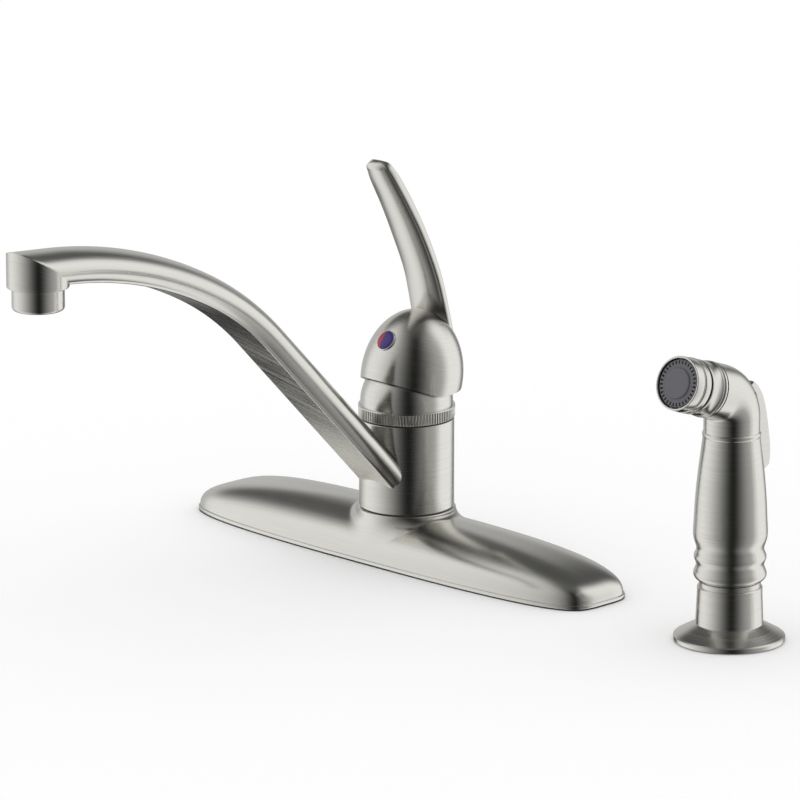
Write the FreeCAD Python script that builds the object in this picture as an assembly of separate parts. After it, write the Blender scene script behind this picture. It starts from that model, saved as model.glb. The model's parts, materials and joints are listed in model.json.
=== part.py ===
"""Single-handle kitchen faucet with a deck plate and a side spray.

Millimetres. The origin is the centre of the deck plate's underside, on the deck.
+X runs along the plate towards the side spray, -Y towards the user, +Z up.
Each function builds one piece of the faucet where it lies in the assembly.
"""
import FreeCAD, Part
import math
import os

V = FreeCAD.Vector
ORIGIN = V(0, 0, 0)
AXIS_X = V(1, 0, 0)
AXIS_Y = V(0, 1, 0)
AXIS_Z = V(0, 0, 1)

# ---------------------------------------------------------------- clearances
RUNNING_FIT = 0.08          # radial gap of a shaft in its bore
SEAT_GAP = 0.1              # radial gap between fixed pieces of one body
LOOSE_GAP = 0.3             # gap between curved faces of different bodies

# ---------------------------------------------------------------- deck plate
PLATE_LENGTH = 255.4
PLATE_WIDTH = 59.4
PLATE_HEIGHT = 21.6         # rim to the top of the crown
PLATE_RIM_HEIGHT = 2.2
PLATE_RIM_STEP = 0.7        # how far the rim stands out from the crown
PLATE_WALL = 2.2
PLATE_END_POWER = 2.44      # squareness of the outline along its length
PLATE_SIDE_POWER = 4.66     # squareness of the outline across its width
CROWN_LENGTH_POWER = 2.6
CROWN_WIDTH_POWER = 2.1
CROWN_LEVELS = 9
OUTLINE_POINTS = 28
COLLAR_RADIUS = 22.9
COLLAR_TOP = 22.9
COLLAR_FILLET = 5.0
GASKET_THICKNESS = 2.0

# ---------------------------------------------------------------- deck fixings
SHANK_SPACING = 203.2       # centre to centre of the two inlets
SHANK_RADIUS = 10.4
SHANK_BORE_RADIUS = 6.5
SHANK_LENGTH = 52.0
THREAD_RELIEF_DEPTH = 0.9   # groove between the nut's thread and the supply thread
THREAD_RELIEF_WIDTH = 2.0
THREAD_RELIEF_LEVEL = -28.0
SHANK_NECK_WALL = 1.5
SHANK_NECK_HEIGHT = 3.0
DECK_THICKNESS = 12.0       # worktop or sink deck that the nuts clamp
WASHER_RADIUS = 19.0
WASHER_THICKNESS = 2.0
NUT_RADIUS = 15.5
NUT_HEIGHT = 12.0
NUT_WINGS = 4
NIPPLE_RADIUS = 6.7
NIPPLE_BORE_RADIUS = 4.0
NIPPLE_LENGTH = 34.0
NIPPLE_NECK_LEVEL = -6.0    # where the nipple's thread starts

# ---------------------------------------------------------------- valve body
HUB_RADIUS = 19.9
ARM_WIDTH = 24.0
ARM_HEIGHT = 9.0
SEAT_LEVEL = 52.0           # floor of the cartridge cup
PORT_RADIUS = 3.0
PORT_OFFSET = 9.0
INLET_BORE_RADIUS = 3.5
OUTLET_GROOVE_DEPTH = 2.6
OUTLET_GROOVE_LOW = 36.0
OUTLET_GROOVE_HIGH = 45.0
O_RING_RADIUS = 1.2
O_RING_GROOVE_WIDTH = 3.0
O_RING_LEVELS = (31.0, 49.0)
DIVERTER_BORE_RADIUS = 6.0
DIVERTER_BORE_TOP = 34.0
DIVERTER_SEAT_LEVEL = 12.0
DIVERTER_SEAT_HEIGHT = 4.0
DIVERTER_TRAVEL = 2.5

# ---------------------------------------------------------------- spout
SLEEVE_RADIUS = 22.2
GLIDE_RING_THICKNESS = 0.7
GLIDE_RING_INSET = 0.6      # how far the glide rings lie inside the sleeve's face
SLEEVE_LENGTH = 42.0
SPOUT_REACH = 228.1         # hub axis to outlet axis
HEAD_RADIUS = 13.9
ARM_TOP_WIDTH = 27.8
ARM_BASE_WIDTH = 22.0
ARM_SECTION_HEIGHT = 14.4
ARM_FLANK_HEIGHT = 6.0
ARM_CORNER = 0.9
ARM_SLOPE = 45.3            # degrees, where the arm leaves the sleeve
ARM_MID_SLOPE = 27.6        # degrees, between the two bends
ARM_END_SLOPE = 4.3         # degrees, over the outlet
ARM_START_Y = -10.0         # the arm's underside starts inside the sleeve
ARM_START_Z = 26.5
ARM_BEND_START_Y = -97.8
ARM_FIRST_RADIUS = 150.6
ARM_SECOND_RADIUS = 219.0
WATERWAY_RADIUS = 4.6
HEAD_DROP = 1.86            # outlet head below the arm's underside
AERATOR_THREAD_RADIUS = 10.4
AERATOR_THREAD_LENGTH = 5.0
AERATOR_RADIUS = 11.7
AERATOR_HEIGHT = 10.2
AERATOR_WALL = 1.6
AERATOR_LIP = 1.6
SCREEN_RADIUS = 8.6
SCREEN_SLOTS = 12

# ---------------------------------------------------------------- bonnet
KNURL_RADIUS = 22.6
KNURL_HEIGHT = 5.6
KNURL_COUNT = 96
KNURL_DEPTH = 0.45
DOME_RADIUS = 21.6
DOME_WALL = 2.4
DOME_OPENING_RADIUS = 13.0

# ---------------------------------------------------------------- cartridge
PIVOT_LEVEL = 73.2          # centre of the dome and of the lever's tilt
CARTRIDGE_RADIUS = 17.0
CARTRIDGE_NECK_RADIUS = 13.6
CARTRIDGE_SHOULDER = 66.0
CARTRIDGE_TOP = 77.0
CARTRIDGE_WALL = 1.9
SEAL_THICKNESS = 1.0
DISC_THICKNESS = 2.7
MOVING_DISC_RADIUS = 10.5
CARRIER_HEIGHT = 3.4
CARRIER_RADIUS = 10.8
ROTOR_RADIUS = 11.0
ROTOR_TOP = 80.0
CARTRIDGE_NUT_HEIGHT = 5.0
STEM_WIDTH = 6.8
STEM_BALL_DEPTH = 11.5      # centre of the ball, below the pivot
STEM_BALL_RADIUS = 2.2
STEM_LENGTH = 26.0          # above the pivot
PIVOT_PIN_RADIUS = 1.5
HANDLE_TILT = 12.0          # degrees back from upright, lever fully raised
HANDLE_TRAVEL = 22.0        # degrees from fully raised to closed

# ---------------------------------------------------------------- handle
HOOD_SETBACK = 1.0          # of the egg behind the stem's axis
HOOD_FOOT = 1.0             # above the pivot, where the egg is cut off
HOOD_RIM_LEVEL = 78.7       # of the rim at the back and sides, lever raised
HOOD_VISOR_SLOPE = 0.41     # rise of the rim towards the front
HOOD_VISOR_START = -1.5     # where the rim starts to rise, along Y
HOOD_VISOR_ROUND = 12.0     # radius of the bend in the rim
HOOD_WIDE_HEIGHT = 12.0
HOOD_RADIUS = 23.8
HOOD_CROWN = 31.2           # widest level to the top
HOOD_DOME_GAP = 0.6         # between the hood's inside and the dome
LEVER_THICKNESS = 8.0
LEVER_HOLLOW = 1.9
LEVER_ROOT_WIDTH = 20.6
LEVER_MID_WIDTH = 18.8
LEVER_TIP_WIDTH = 15.2
BUTTON_RADIUS = 4.6
BUTTON_HEIGHT = 27.5        # on the hood's axis, above the pivot
BUTTON_STANDOUT = 0.8
SET_SCREW_RADIUS = 2.0
SET_SCREW_LENGTH = 7.0

# ---------------------------------------------------------------- side spray
SPRAY_X = 203.2             # spray hole, in line with the plate
FLANGE_RADIUS = 25.0
FLANGE_RIM_HEIGHT = 2.4
FLANGE_TOP = 8.0
HOLDER_FOOT_RADIUS = 15.1
HOLDER_TOP_RADIUS = 14.6
HOLDER_HEIGHT = 25.2
HOLDER_MOUTH_RADIUS = 12.7
HOLDER_BORE_RADIUS = 9.0
HOLDER_CUP_FLOOR = 9.0
HOLDER_SHANK_RADIUS = 13.5
HOLDER_SHANK_LENGTH = 42.0
HOLDER_NUT_RADIUS = 21.0
HOLDER_NUT_HEIGHT = 9.0
NECK_RING_RADIUS = 13.8
NECK_RING_HEIGHT = 2.3
COUPLING_RADIUS = 12.0
COUPLING_BORE_RADIUS = 3.5
SPIGOT_RADIUS = 7.8
SPIGOT_TOP = 40.0
GRIP_BOTTOM = 27.8
WATER_BORE_RADIUS = 5.0
SLANT_BORE_LEVEL = 100.0    # where the bore starts to lean forwards
SLANT_BORE_LENGTH = 14.0
NOZZLE_BORE_RADIUS = 7.0
ELBOW_LEVEL = 112.6         # where the grip's axis meets the nozzle's
ELBOW_RADIUS = 12.6
ELBOW_BEND = 14.0
NOZZLE_TILT = 18.0          # degrees above level
NOZZLE_FACE = 38.0          # elbow centre to the face
NOZZLE_COLLAR_START = 17.5
NOZZLE_RING_START = 28.0
NOZZLE_NECK_RADIUS = 10.6
NOZZLE_COLLAR_RADIUS = 12.5
NOZZLE_RING_RADIUS = 12.2
FACE_RADIUS = 10.8
FACE_THICKNESS = 4.0
FACE_RECESS = 0.6
FACE_SLOTS = 28
FACE_SLOT_LENGTH = 2.4
FACE_SLOT_WIDTH = 0.8
FACE_SLOT_RADIUS = 8.7
PLUG_RADIUS = 6.2
PLUG_STANDOUT = 0.9
TRIGGER_WIDTH = 14.0
TRIGGER_WALL = 1.8
TRIGGER_GAP = 0.4           # round the trigger in its recess
TRIGGER_PIVOT_Y = 4.6
TRIGGER_PIVOT_Z = 113.6
TRIGGER_TRAVEL = 5.5        # degrees
TRIGGER_SWING_ROOM = 0.4    # more room before its top, which swings out
TRIGGER_PIN_RADIUS = 1.2
PLUNGER_LEVEL = 84.0
PLUNGER_RADIUS = 2.0
PLUNGER_TIP = 14.4          # end under the trigger, behind the spray's axis
PLUNGER_HEAD_RADIUS = 3.6
PLUNGER_HEAD_LENGTH = 2.0


# ================================================================ helpers
def cylinder(radius, low, high, x=0.0, y=0.0):
    """Upright cylinder between two levels."""
    return Part.makeCylinder(radius, high - low, V(x, y, low), AXIS_Z)


def tube(outer, inner, low, high, x=0.0, y=0.0):
    """Upright tube between two levels."""
    return cylinder(outer, low, high, x, y).cut(cylinder(inner, low, high, x, y))


def box(x, y, z):
    """Box from three (low, high) pairs."""
    return Part.makeBox(x[1] - x[0], y[1] - y[0], z[1] - z[0], V(x[0], y[0], z[0]))


def turned(profile, x=0.0, y=0.0):
    """Solid turned about an upright axis from (radius, level) corners."""
    corners = [V(radius, 0, level) for radius, level in profile]
    face = Part.Face(Part.makePolygon(corners + corners[:1]))
    solid = face.revolve(ORIGIN, AXIS_Z, 360)
    solid.translate(V(x, y, 0))
    return solid


def turned_wire(edges):
    """Solid turned about the Z axis from joined edges in the XZ plane."""
    face = Part.Face(Part.Wire(edges))
    return face.revolve(ORIGIN, AXIS_Z, 360)


def line(start, end):
    """Straight edge between two points."""
    return Part.makeLine(start, end)


def arc(start, middle, end):
    """Circular edge through three points."""
    return Part.Arc(start, middle, end).toShape()


def smooth_loop(points):
    """Closed smooth curve through the points."""
    curve = Part.BSplineCurve()
    curve.interpolate(points, True)
    return Part.Wire([curve.toShape()])


def fillet_or_keep(solid, radius, edges):
    """Round the edges, or return the solid with its edges sharp."""
    try:
        rounded = solid.makeFillet(radius, edges)
    except Part.OCCError:
        return solid
    if rounded.isValid() and rounded.Volume > 0:
        return rounded
    return solid


def rounded_at(solid, radius, chosen):
    """Round the edges whose centre passes the test."""
    edges = [edge for edge in solid.Edges if chosen(edge.CenterOfMass, edge)]
    if not edges:
        return solid
    return fillet_or_keep(solid, radius, edges)


def union(first, others):
    """One solid of several, with seams between like faces removed."""
    return first.fuse(others).removeSplitter()


# ================================================================ deck plate
def plate_outline(half_length, half_width, level):
    """Oval outline of the plate, by the superellipse formula."""
    points = []
    for step in range(OUTLINE_POINTS):
        angle = 2 * math.pi * (step + 0.5) / OUTLINE_POINTS
        along = math.cos(angle)
        across = math.sin(angle)
        x = half_length * math.copysign(abs(along) ** (2 / PLATE_END_POWER), along)
        y = half_width * math.copysign(abs(across) ** (2 / PLATE_SIDE_POWER), across)
        points.append(V(x, y, level))
    return smooth_loop(points)


def crown_level(share, power):
    """Share of the outline left at a share of the crown's height."""
    return (1 - share ** power) ** (1 / power)


def crown(inset, base):
    """Domed body of the plate, drawn in by an even inset."""
    half_length = PLATE_LENGTH / 2 - inset
    half_width = PLATE_WIDTH / 2 - inset
    height = PLATE_HEIGHT - inset - base
    sections = []
    for step in range(CROWN_LEVELS):
        share = 0.985 * math.sin(math.pi / 2 * step / (CROWN_LEVELS - 1))
        length = half_length * crown_level(share, CROWN_LENGTH_POWER)
        width = half_width * crown_level(share, CROWN_WIDTH_POWER)
        sections.append(plate_outline(length, width, base + height * share))
    return Part.makeLoft(sections, True)


def plate_slab(inset, low, high):
    """Flat slab with the plate's outline."""
    outline = plate_outline(PLATE_LENGTH / 2 - inset, PLATE_WIDTH / 2 - inset, low)
    return Part.Face(outline).extrude(V(0, 0, high - low))


def deck_plate():
    """Crowned plate with its rim, and the collar under the spout."""
    outside = plate_slab(0, 0, PLATE_RIM_HEIGHT).fuse(crown(PLATE_RIM_STEP, PLATE_RIM_HEIGHT))
    tall = COLLAR_TOP + 2 * COLLAR_FILLET
    outside = outside.fuse(cylinder(COLLAR_RADIUS, PLATE_RIM_HEIGHT, tall))
    outside = rounded_at(outside, COLLAR_FILLET, is_collar_seam)
    outside = outside.cut(cylinder(3 * COLLAR_RADIUS, COLLAR_TOP, tall + 1))
    inside = plate_slab(PLATE_WALL, 0, PLATE_RIM_HEIGHT).fuse(
        crown(PLATE_RIM_STEP + PLATE_WALL, PLATE_RIM_HEIGHT))
    hollow = outside.cut(inside)
    lining = cylinder(COLLAR_RADIUS - 0.5, PLATE_RIM_HEIGHT + ARM_HEIGHT + 3, COLLAR_TOP)
    hollow = hollow.fuse(lining.common(outside))
    return hollow.cut(cylinder(HUB_RADIUS + SEAT_GAP, 0, COLLAR_TOP + 1))


def is_collar_seam(centre, edge):
    """True for the curve where the collar meets the crown."""
    box_of = edge.BoundBox
    inside = box_of.XMax < COLLAR_RADIUS + 0.5 and box_of.XMin > -COLLAR_RADIUS - 0.5
    return inside and box_of.ZMax < COLLAR_TOP - 0.5 and box_of.ZMin > PLATE_RIM_HEIGHT + 1


def shank_places():
    """Centres of the two inlets along X."""
    return (-SHANK_SPACING / 2, SHANK_SPACING / 2)


def plate_gasket():
    """Soft pad under the valve body, inside the plate's rim."""
    pad = plate_slab(PLATE_WALL + LOOSE_GAP, 0, GASKET_THICKNESS)
    for x in shank_places():
        pad = pad.cut(cylinder(SHANK_RADIUS + LOOSE_GAP, -1, GASKET_THICKNESS + 1, x))
    return pad.cut(cylinder(NIPPLE_RADIUS + LOOSE_GAP, -1, GASKET_THICKNESS + 1))


# ================================================================ deck fixings
def supply_shank(x):
    """Threaded inlet with the flange that the body rests on."""
    low = GASKET_THICKNESS - SHANK_LENGTH
    stub = cylinder(SHANK_RADIUS, low, GASKET_THICKNESS, x)
    neck = cylinder(SHANK_BORE_RADIUS + SHANK_NECK_WALL, GASKET_THICKNESS, shank_neck_top(), x)
    stub = stub.fuse(neck)
    bore = cylinder(SHANK_BORE_RADIUS, low - 1, shank_neck_top() + 1, x)
    relief = tube(SHANK_RADIUS + 1, SHANK_RADIUS - THREAD_RELIEF_DEPTH,
                  THREAD_RELIEF_LEVEL - THREAD_RELIEF_WIDTH, THREAD_RELIEF_LEVEL, x)
    return stub.cut([bore, relief])


def shank_neck_top():
    """Level of the shank's neck inside the valve body's arm."""
    return GASKET_THICKNESS + SHANK_NECK_HEIGHT


def shank_washers():
    """Washers under the deck, one on each inlet."""
    top = -DECK_THICKNESS
    rings = [tube(WASHER_RADIUS, SHANK_RADIUS + SEAT_GAP, top - WASHER_THICKNESS, top, x)
             for x in shank_places()]
    return Part.makeCompound(rings)


def winged_nut(outer, inner, top, height, x):
    """Plastic nut with wings, under the deck."""
    low = top - height
    nut = cylinder(outer, low, top, x)
    for wing in range(NUT_WINGS):
        blade = box((outer - 2, outer + 6), (-2, 2), (low, top - 2))
        blade.rotate(ORIGIN, AXIS_Z, 360 / NUT_WINGS * wing + 45)
        blade.translate(V(x, 0, 0))
        nut = nut.fuse(blade)
    return nut.cut(cylinder(inner + SEAT_GAP, low - 1, top + 1, x)).removeSplitter()


def shank_nuts():
    """Winged nuts that pull the faucet down, one on each inlet."""
    top = -DECK_THICKNESS - WASHER_THICKNESS
    nuts = [winged_nut(NUT_RADIUS, SHANK_RADIUS, top, NUT_HEIGHT, x) for x in shank_places()]
    return Part.makeCompound(nuts)


def spray_nipple():
    """Threaded outlet for the side spray's hose, under the hub."""
    low = GASKET_THICKNESS - NIPPLE_LENGTH
    stub = cylinder(NIPPLE_RADIUS, low, NIPPLE_NECK_LEVEL)
    stub = stub.fuse(cylinder(NIPPLE_RADIUS - THREAD_RELIEF_DEPTH, NIPPLE_NECK_LEVEL, GASKET_THICKNESS))
    neck = cylinder(DIVERTER_BORE_RADIUS - SEAT_GAP, GASKET_THICKNESS, DIVERTER_SEAT_LEVEL)
    return stub.fuse(neck).cut(cylinder(NIPPLE_BORE_RADIUS, low - 1, DIVERTER_SEAT_LEVEL + 1))


# ================================================================ valve body
def hub_top():
    """Level of the hub's upper edge, under the dome's ledge."""
    return knurl_bottom() + KNURL_HEIGHT - 0.2


def valve_body():
    """Brass casting: arms to the inlets, hub, cartridge cup and ports."""
    half = SHANK_SPACING / 2
    base = GASKET_THICKNESS
    arm = box((-half, half), (-ARM_WIDTH / 2, ARM_WIDTH / 2), (base, base + ARM_HEIGHT))
    ends = [cylinder(ARM_WIDTH / 2, base, base + ARM_HEIGHT, x) for x in shank_places()]
    body = union(arm, ends + [cylinder(HUB_RADIUS, base, hub_top())])
    cuts = [cylinder(CARTRIDGE_RADIUS + SEAT_GAP, SEAT_LEVEL, hub_top() + 1)]
    cuts.append(cylinder(DIVERTER_BORE_RADIUS, base - 1, DIVERTER_BORE_TOP))
    for x in shank_places():
        cuts.append(cylinder(SHANK_BORE_RADIUS + SHANK_NECK_WALL + SEAT_GAP, base - 1, shank_neck_top(), x))
    cuts += inlet_ports(base) + outlet_ports()
    for level in O_RING_LEVELS:
        low = level - O_RING_GROOVE_WIDTH / 2
        depth = 2 * O_RING_RADIUS + SEAT_GAP
        cuts.append(tube(HUB_RADIUS + 1, HUB_RADIUS - depth, low, low + O_RING_GROOVE_WIDTH))
    return body.cut(cuts)


def inlet_ports(base):
    """Drilled ways from both inlets up to the cartridge seat."""
    level = base + ARM_HEIGHT / 2 + 1
    ways = []
    for side in (-1, 1):
        length = SHANK_SPACING / 2 - PORT_OFFSET
        start = V(side * PORT_OFFSET, 0, level)
        ways.append(Part.makeCylinder(INLET_BORE_RADIUS, length, start, AXIS_X * side))
        ways.append(cylinder(PORT_RADIUS, level, SEAT_LEVEL + 1, side * PORT_OFFSET))
    return ways


def outlet_ports():
    """Way from the cartridge seat down to the groove round the hub."""
    depth = OUTLET_GROOVE_DEPTH
    groove = tube(HUB_RADIUS + 1, HUB_RADIUS - depth, OUTLET_GROOVE_LOW, OUTLET_GROOVE_HIGH)
    drop = cylinder(PORT_RADIUS, DIVERTER_BORE_TOP - 4, SEAT_LEVEL + 1, 0, -PORT_OFFSET)
    level = (OUTLET_GROOVE_LOW + OUTLET_GROOVE_HIGH) / 2
    side = Part.makeCylinder(PORT_RADIUS, HUB_RADIUS, V(0, -PORT_OFFSET, level), -AXIS_Y)
    return [groove, drop, side]


def spout_seals():
    """O-rings on the hub, above and below the outlet groove."""
    rings = []
    for level in O_RING_LEVELS:
        centre = HUB_RADIUS - O_RING_RADIUS
        rings.append(Part.makeTorus(centre, O_RING_RADIUS, V(0, 0, level)))
    return Part.makeCompound(rings)


def diverter_seat():
    """Ring that the diverter's piston rests on."""
    top = DIVERTER_SEAT_LEVEL + DIVERTER_SEAT_HEIGHT
    return tube(DIVERTER_BORE_RADIUS - SEAT_GAP, NIPPLE_BORE_RADIUS, DIVERTER_SEAT_LEVEL, top)


def diverter_piston():
    """Piston that lifts off its seat when the spray runs."""
    low = DIVERTER_SEAT_LEVEL + DIVERTER_SEAT_HEIGHT
    radius = DIVERTER_BORE_RADIUS - RUNNING_FIT
    head = cylinder(radius, low, low + 5)
    waist = cylinder(radius - 2.5, low + 5, low + 9)
    guide = cylinder(radius, low + 9, low + 12)
    return union(head, [waist, guide])


# ================================================================ spout
def sleeve_bottom():
    """Lower edge of the spout's sleeve."""
    return COLLAR_TOP + GLIDE_RING_THICKNESS


def sleeve_top():
    """Upper edge of the spout's sleeve."""
    return sleeve_bottom() + SLEEVE_LENGTH


def knurl_bottom():
    """Lower edge of the knurled ring."""
    return sleeve_top() + GLIDE_RING_THICKNESS


def glide_ring(level):
    """Plastic ring that the sleeve turns on."""
    outer = SLEEVE_RADIUS - GLIDE_RING_INSET
    return tube(outer, HUB_RADIUS + SEAT_GAP, level, level + GLIDE_RING_THICKNESS)


def arm_frames(offset):
    """Start, bend and end points of the arm's path in the YZ plane.

    The path is a straight run and two arcs. It follows the arm's underside,
    moved out of it by the offset.
    """
    slope = math.radians(ARM_SLOPE)
    start = path_point(ARM_START_Y, ARM_START_Z, ARM_SLOPE, offset)
    run = ARM_START_Y - ARM_BEND_START_Y
    rise = run * math.tan(slope)
    first = (ARM_BEND_START_Y, ARM_START_Z + rise)
    second = bend_end(first, ARM_FIRST_RADIUS, ARM_SLOPE, ARM_MID_SLOPE)
    third = bend_end(second, ARM_SECOND_RADIUS, ARM_MID_SLOPE, ARM_END_SLOPE)
    return start, first, second, third


def head_bottom():
    """Level of the outlet head's lower face."""
    third = arm_frames(0)[3]
    underside = third[1] + (SPOUT_REACH + third[0]) * math.tan(math.radians(ARM_END_SLOPE))
    return underside - HEAD_DROP


def bend_end(point, radius, slope_in, slope_out):
    """Where a bend ends that starts at a point and flattens out."""
    low = math.radians(slope_out)
    high = math.radians(slope_in)
    y = point[0] - radius * (math.sin(high) - math.sin(low))
    z = point[1] + radius * (math.cos(low) - math.cos(high))
    return (y, z)


def path_point(y, z, slope, offset):
    """Point moved off the underside, square to the arm."""
    angle = math.radians(slope)
    return V(0, y + offset * math.sin(angle), z + offset * math.cos(angle))


def bend_edge(point, radius, slope_in, slope_out, offset):
    """Arc of the path between two slopes."""
    middle_slope = (slope_in + slope_out) / 2
    middle = bend_end(point, radius, slope_in, middle_slope)
    end = bend_end(point, radius, slope_in, slope_out)
    return arc(path_point(point[0], point[1], slope_in, offset),
               path_point(middle[0], middle[1], middle_slope, offset),
               path_point(end[0], end[1], slope_out, offset))


def arm_path(offset, reach):
    """Wire that the arm or its waterway follows, out to a reach."""
    start, first, second, third = arm_frames(offset)
    bend_start = path_point(first[0], first[1], ARM_SLOPE, offset)
    last = path_point(third[0], third[1], ARM_END_SLOPE, offset)
    slope = math.radians(ARM_END_SLOPE)
    run = reach + last.y
    end = V(0, last.y - run, last.z + run * math.tan(slope))
    edges = [line(start, bend_start)]
    edges.append(bend_edge(first, ARM_FIRST_RADIUS, ARM_SLOPE, ARM_MID_SLOPE, offset))
    edges.append(bend_edge(second, ARM_SECOND_RADIUS, ARM_MID_SLOPE, ARM_END_SLOPE, offset))
    edges.append(line(last, end))
    return Part.Wire(edges)


def place_on_arm(shape):
    """Stand a flat section at the arm's start, square to its path."""
    shape.rotate(ORIGIN, AXIS_X, 90 - ARM_SLOPE)
    shape.translate(V(0, ARM_START_Y, ARM_START_Z))
    return shape


def arm_section():
    """D-shaped section: flat underside, drawn-in flanks and a round top.

    Drawn in the XY plane: X across the arm, Y out of its underside.
    """
    base = ARM_BASE_WIDTH / 2
    wide = ARM_TOP_WIDTH / 2
    flank = ARM_FLANK_HEIGHT
    crown_height = ARM_SECTION_HEIGHT - flank
    corner = ARM_CORNER
    bulge = (wide - base) * 0.72
    round_top = Part.Ellipse(V(0, flank, 0), wide, crown_height).toShape(0, math.pi)
    edges = [line(V(-base + corner, 0, 0), V(base - corner, 0, 0))]
    edges.append(line(V(base - corner, 0, 0), V(base, corner, 0)))
    edges.append(arc(V(base, corner, 0), V(base + bulge, flank / 2, 0), V(wide, flank, 0)))
    edges.append(round_top)
    edges.append(arc(V(-wide, flank, 0), V(-base - bulge, flank / 2, 0), V(-base, corner, 0)))
    edges.append(line(V(-base, corner, 0), V(-base + corner, 0, 0)))
    return Part.Wire(edges)


def spout_arm():
    """Arm swept along its path, ending over the outlet."""
    section = place_on_arm(arm_section())
    arm = arm_path(0, SPOUT_REACH + HEAD_RADIUS + 6).makePipeShell([section], True, False)
    keep = box((-40, 40), (-SPOUT_REACH, 0), (0, 250))
    keep = keep.fuse(cylinder(HEAD_RADIUS, 0, 250, 0, -SPOUT_REACH))
    return arm.common(keep)


def waterway():
    """Bore along the arm, open into the sleeve and the outlet."""
    offset = ARM_SECTION_HEIGHT / 2 - 0.4
    circle = Part.Wire([Part.makeCircle(WATERWAY_RADIUS, V(0, offset, 0), AXIS_Z)])
    return arm_path(offset, SPOUT_REACH).makePipeShell([place_on_arm(circle)], True, False)


def spout():
    """Sleeve, arm and outlet head, cast as one piece."""
    sleeve = cylinder(SLEEVE_RADIUS, sleeve_bottom(), sleeve_top())
    head_top = head_bottom() + 8
    head = cylinder(HEAD_RADIUS, head_bottom(), head_top, 0, -SPOUT_REACH)
    body = union(spout_arm(), [head, sleeve])
    mouth_top = head_bottom() + AERATOR_THREAD_LENGTH + 1.5
    mouth_radius = AERATOR_THREAD_RADIUS + SEAT_GAP
    cuts = [cylinder(HUB_RADIUS + RUNNING_FIT, 0, sleeve_top() + 1)]
    cuts.append(cylinder(mouth_radius, head_bottom() - 1, mouth_top, 0, -SPOUT_REACH))
    cuts.append(waterway())
    return body.cut(cuts)


def aerator_housing():
    """Ring screwed into the outlet, with a rounded lower lip."""
    low = head_bottom() - AERATOR_HEIGHT
    top = head_bottom() + AERATOR_THREAD_LENGTH
    outer = AERATOR_RADIUS
    inner = outer - AERATOR_WALL
    lip = AERATOR_LIP
    corner = math.sqrt(0.5) * lip
    thread_inner = AERATOR_THREAD_RADIUS - 1.4
    edges = [arc(V(outer - lip, 0, low), V(outer - lip + corner, 0, low + lip - corner),
                 V(outer, 0, low + lip))]
    corners = [(outer, low + lip), (outer, head_bottom()), (AERATOR_THREAD_RADIUS, head_bottom())]
    corners += [(AERATOR_THREAD_RADIUS, top), (thread_inner, top), (thread_inner, low + 3)]
    corners += [(inner - 2, low + 3), (inner - 2, low), (outer - lip, low)]
    for first, second in zip(corners, corners[1:]):
        edges.append(line(V(first[0], 0, first[1]), V(second[0], 0, second[1])))
    ring = turned_wire(edges)
    ring.translate(V(0, -SPOUT_REACH, 0))
    return ring


def aerator_screen():
    """Plastic insert with slots round a middle boss."""
    low = head_bottom() - AERATOR_HEIGHT + 3
    plate = cylinder(SCREEN_RADIUS, low, low + 6)
    slots = []
    for index in range(SCREEN_SLOTS):
        slot = box((3.0, 7.2), (-0.6, 0.6), (low - 1, low + 7))
        slot.rotate(ORIGIN, AXIS_Z, 360 / SCREEN_SLOTS * index)
        slots.append(slot)
    screen = plate.cut(slots)
    screen.translate(V(0, -SPOUT_REACH, 0))
    return screen


def aerator_washer():
    """Rubber washer between the aerator and the outlet's floor."""
    low = head_bottom() + AERATOR_THREAD_LENGTH
    return tube(AERATOR_THREAD_RADIUS, 6.5, low, low + 1.5, 0, -SPOUT_REACH)


# ================================================================ bonnet
def bonnet():
    """Knurled ring and dome in one piece, screwed on the hub."""
    low = knurl_bottom()
    top = low + KNURL_HEIGHT
    blend = math.sqrt(DOME_RADIUS ** 2 - (top + 0.5 - PIVOT_LEVEL) ** 2)
    skirt = turned([(0, low), (KNURL_RADIUS, low), (KNURL_RADIUS, top), (blend, top + 0.5),
                    (0, top + 0.5)])
    grooves = []
    for index in range(KNURL_COUNT):
        groove = box((KNURL_RADIUS - KNURL_DEPTH, KNURL_RADIUS + 1), (-0.3, 0.3),
                     (low - 1, top - 0.5))
        groove.rotate(ORIGIN, AXIS_Z, 360 / KNURL_COUNT * index)
        grooves.append(groove)
    skirt = skirt.cut(Part.makeCompound(grooves))
    centre = V(0, 0, PIVOT_LEVEL)
    dome = Part.makeSphere(DOME_RADIUS, centre).common(cylinder(30, top, 120))
    shell = skirt.fuse(dome)
    inside = Part.makeSphere(DOME_RADIUS - DOME_WALL, centre).common(cylinder(30, hub_top(), 120))
    cuts = [inside, cylinder(HUB_RADIUS + SEAT_GAP, low - 1, hub_top())]
    cuts.append(cylinder(DOME_OPENING_RADIUS, PIVOT_LEVEL, 120))
    return shell.cut(cuts)


# ================================================================ cartridge
def disc_level():
    """Underside of the fixed ceramic disc."""
    return SEAT_LEVEL + SEAL_THICKNESS


def carrier_level():
    """Underside of the disc carrier."""
    return disc_level() + 2 * DISC_THICKNESS


def rotor_bottom():
    """Underside of the cartridge's turning core."""
    return carrier_level() + CARRIER_HEIGHT + 0.4


def cartridge_housing():
    """Plastic shell of the cartridge, open below and above."""
    low = SEAT_LEVEL
    chamber_top = rotor_bottom()
    outside = cylinder(CARTRIDGE_RADIUS, low, CARTRIDGE_SHOULDER)
    outside = outside.fuse(cylinder(CARTRIDGE_NECK_RADIUS, CARTRIDGE_SHOULDER, CARTRIDGE_TOP))
    chamber = cylinder(CARTRIDGE_RADIUS - CARTRIDGE_WALL, low - 1, chamber_top)
    bore = cylinder(ROTOR_RADIUS + RUNNING_FIT, chamber_top, CARTRIDGE_TOP + 1)
    return outside.removeSplitter().cut([chamber, bore])


def port_angles():
    """Places of the three ports under the cartridge, in degrees."""
    return (0, 180, 270)


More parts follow.
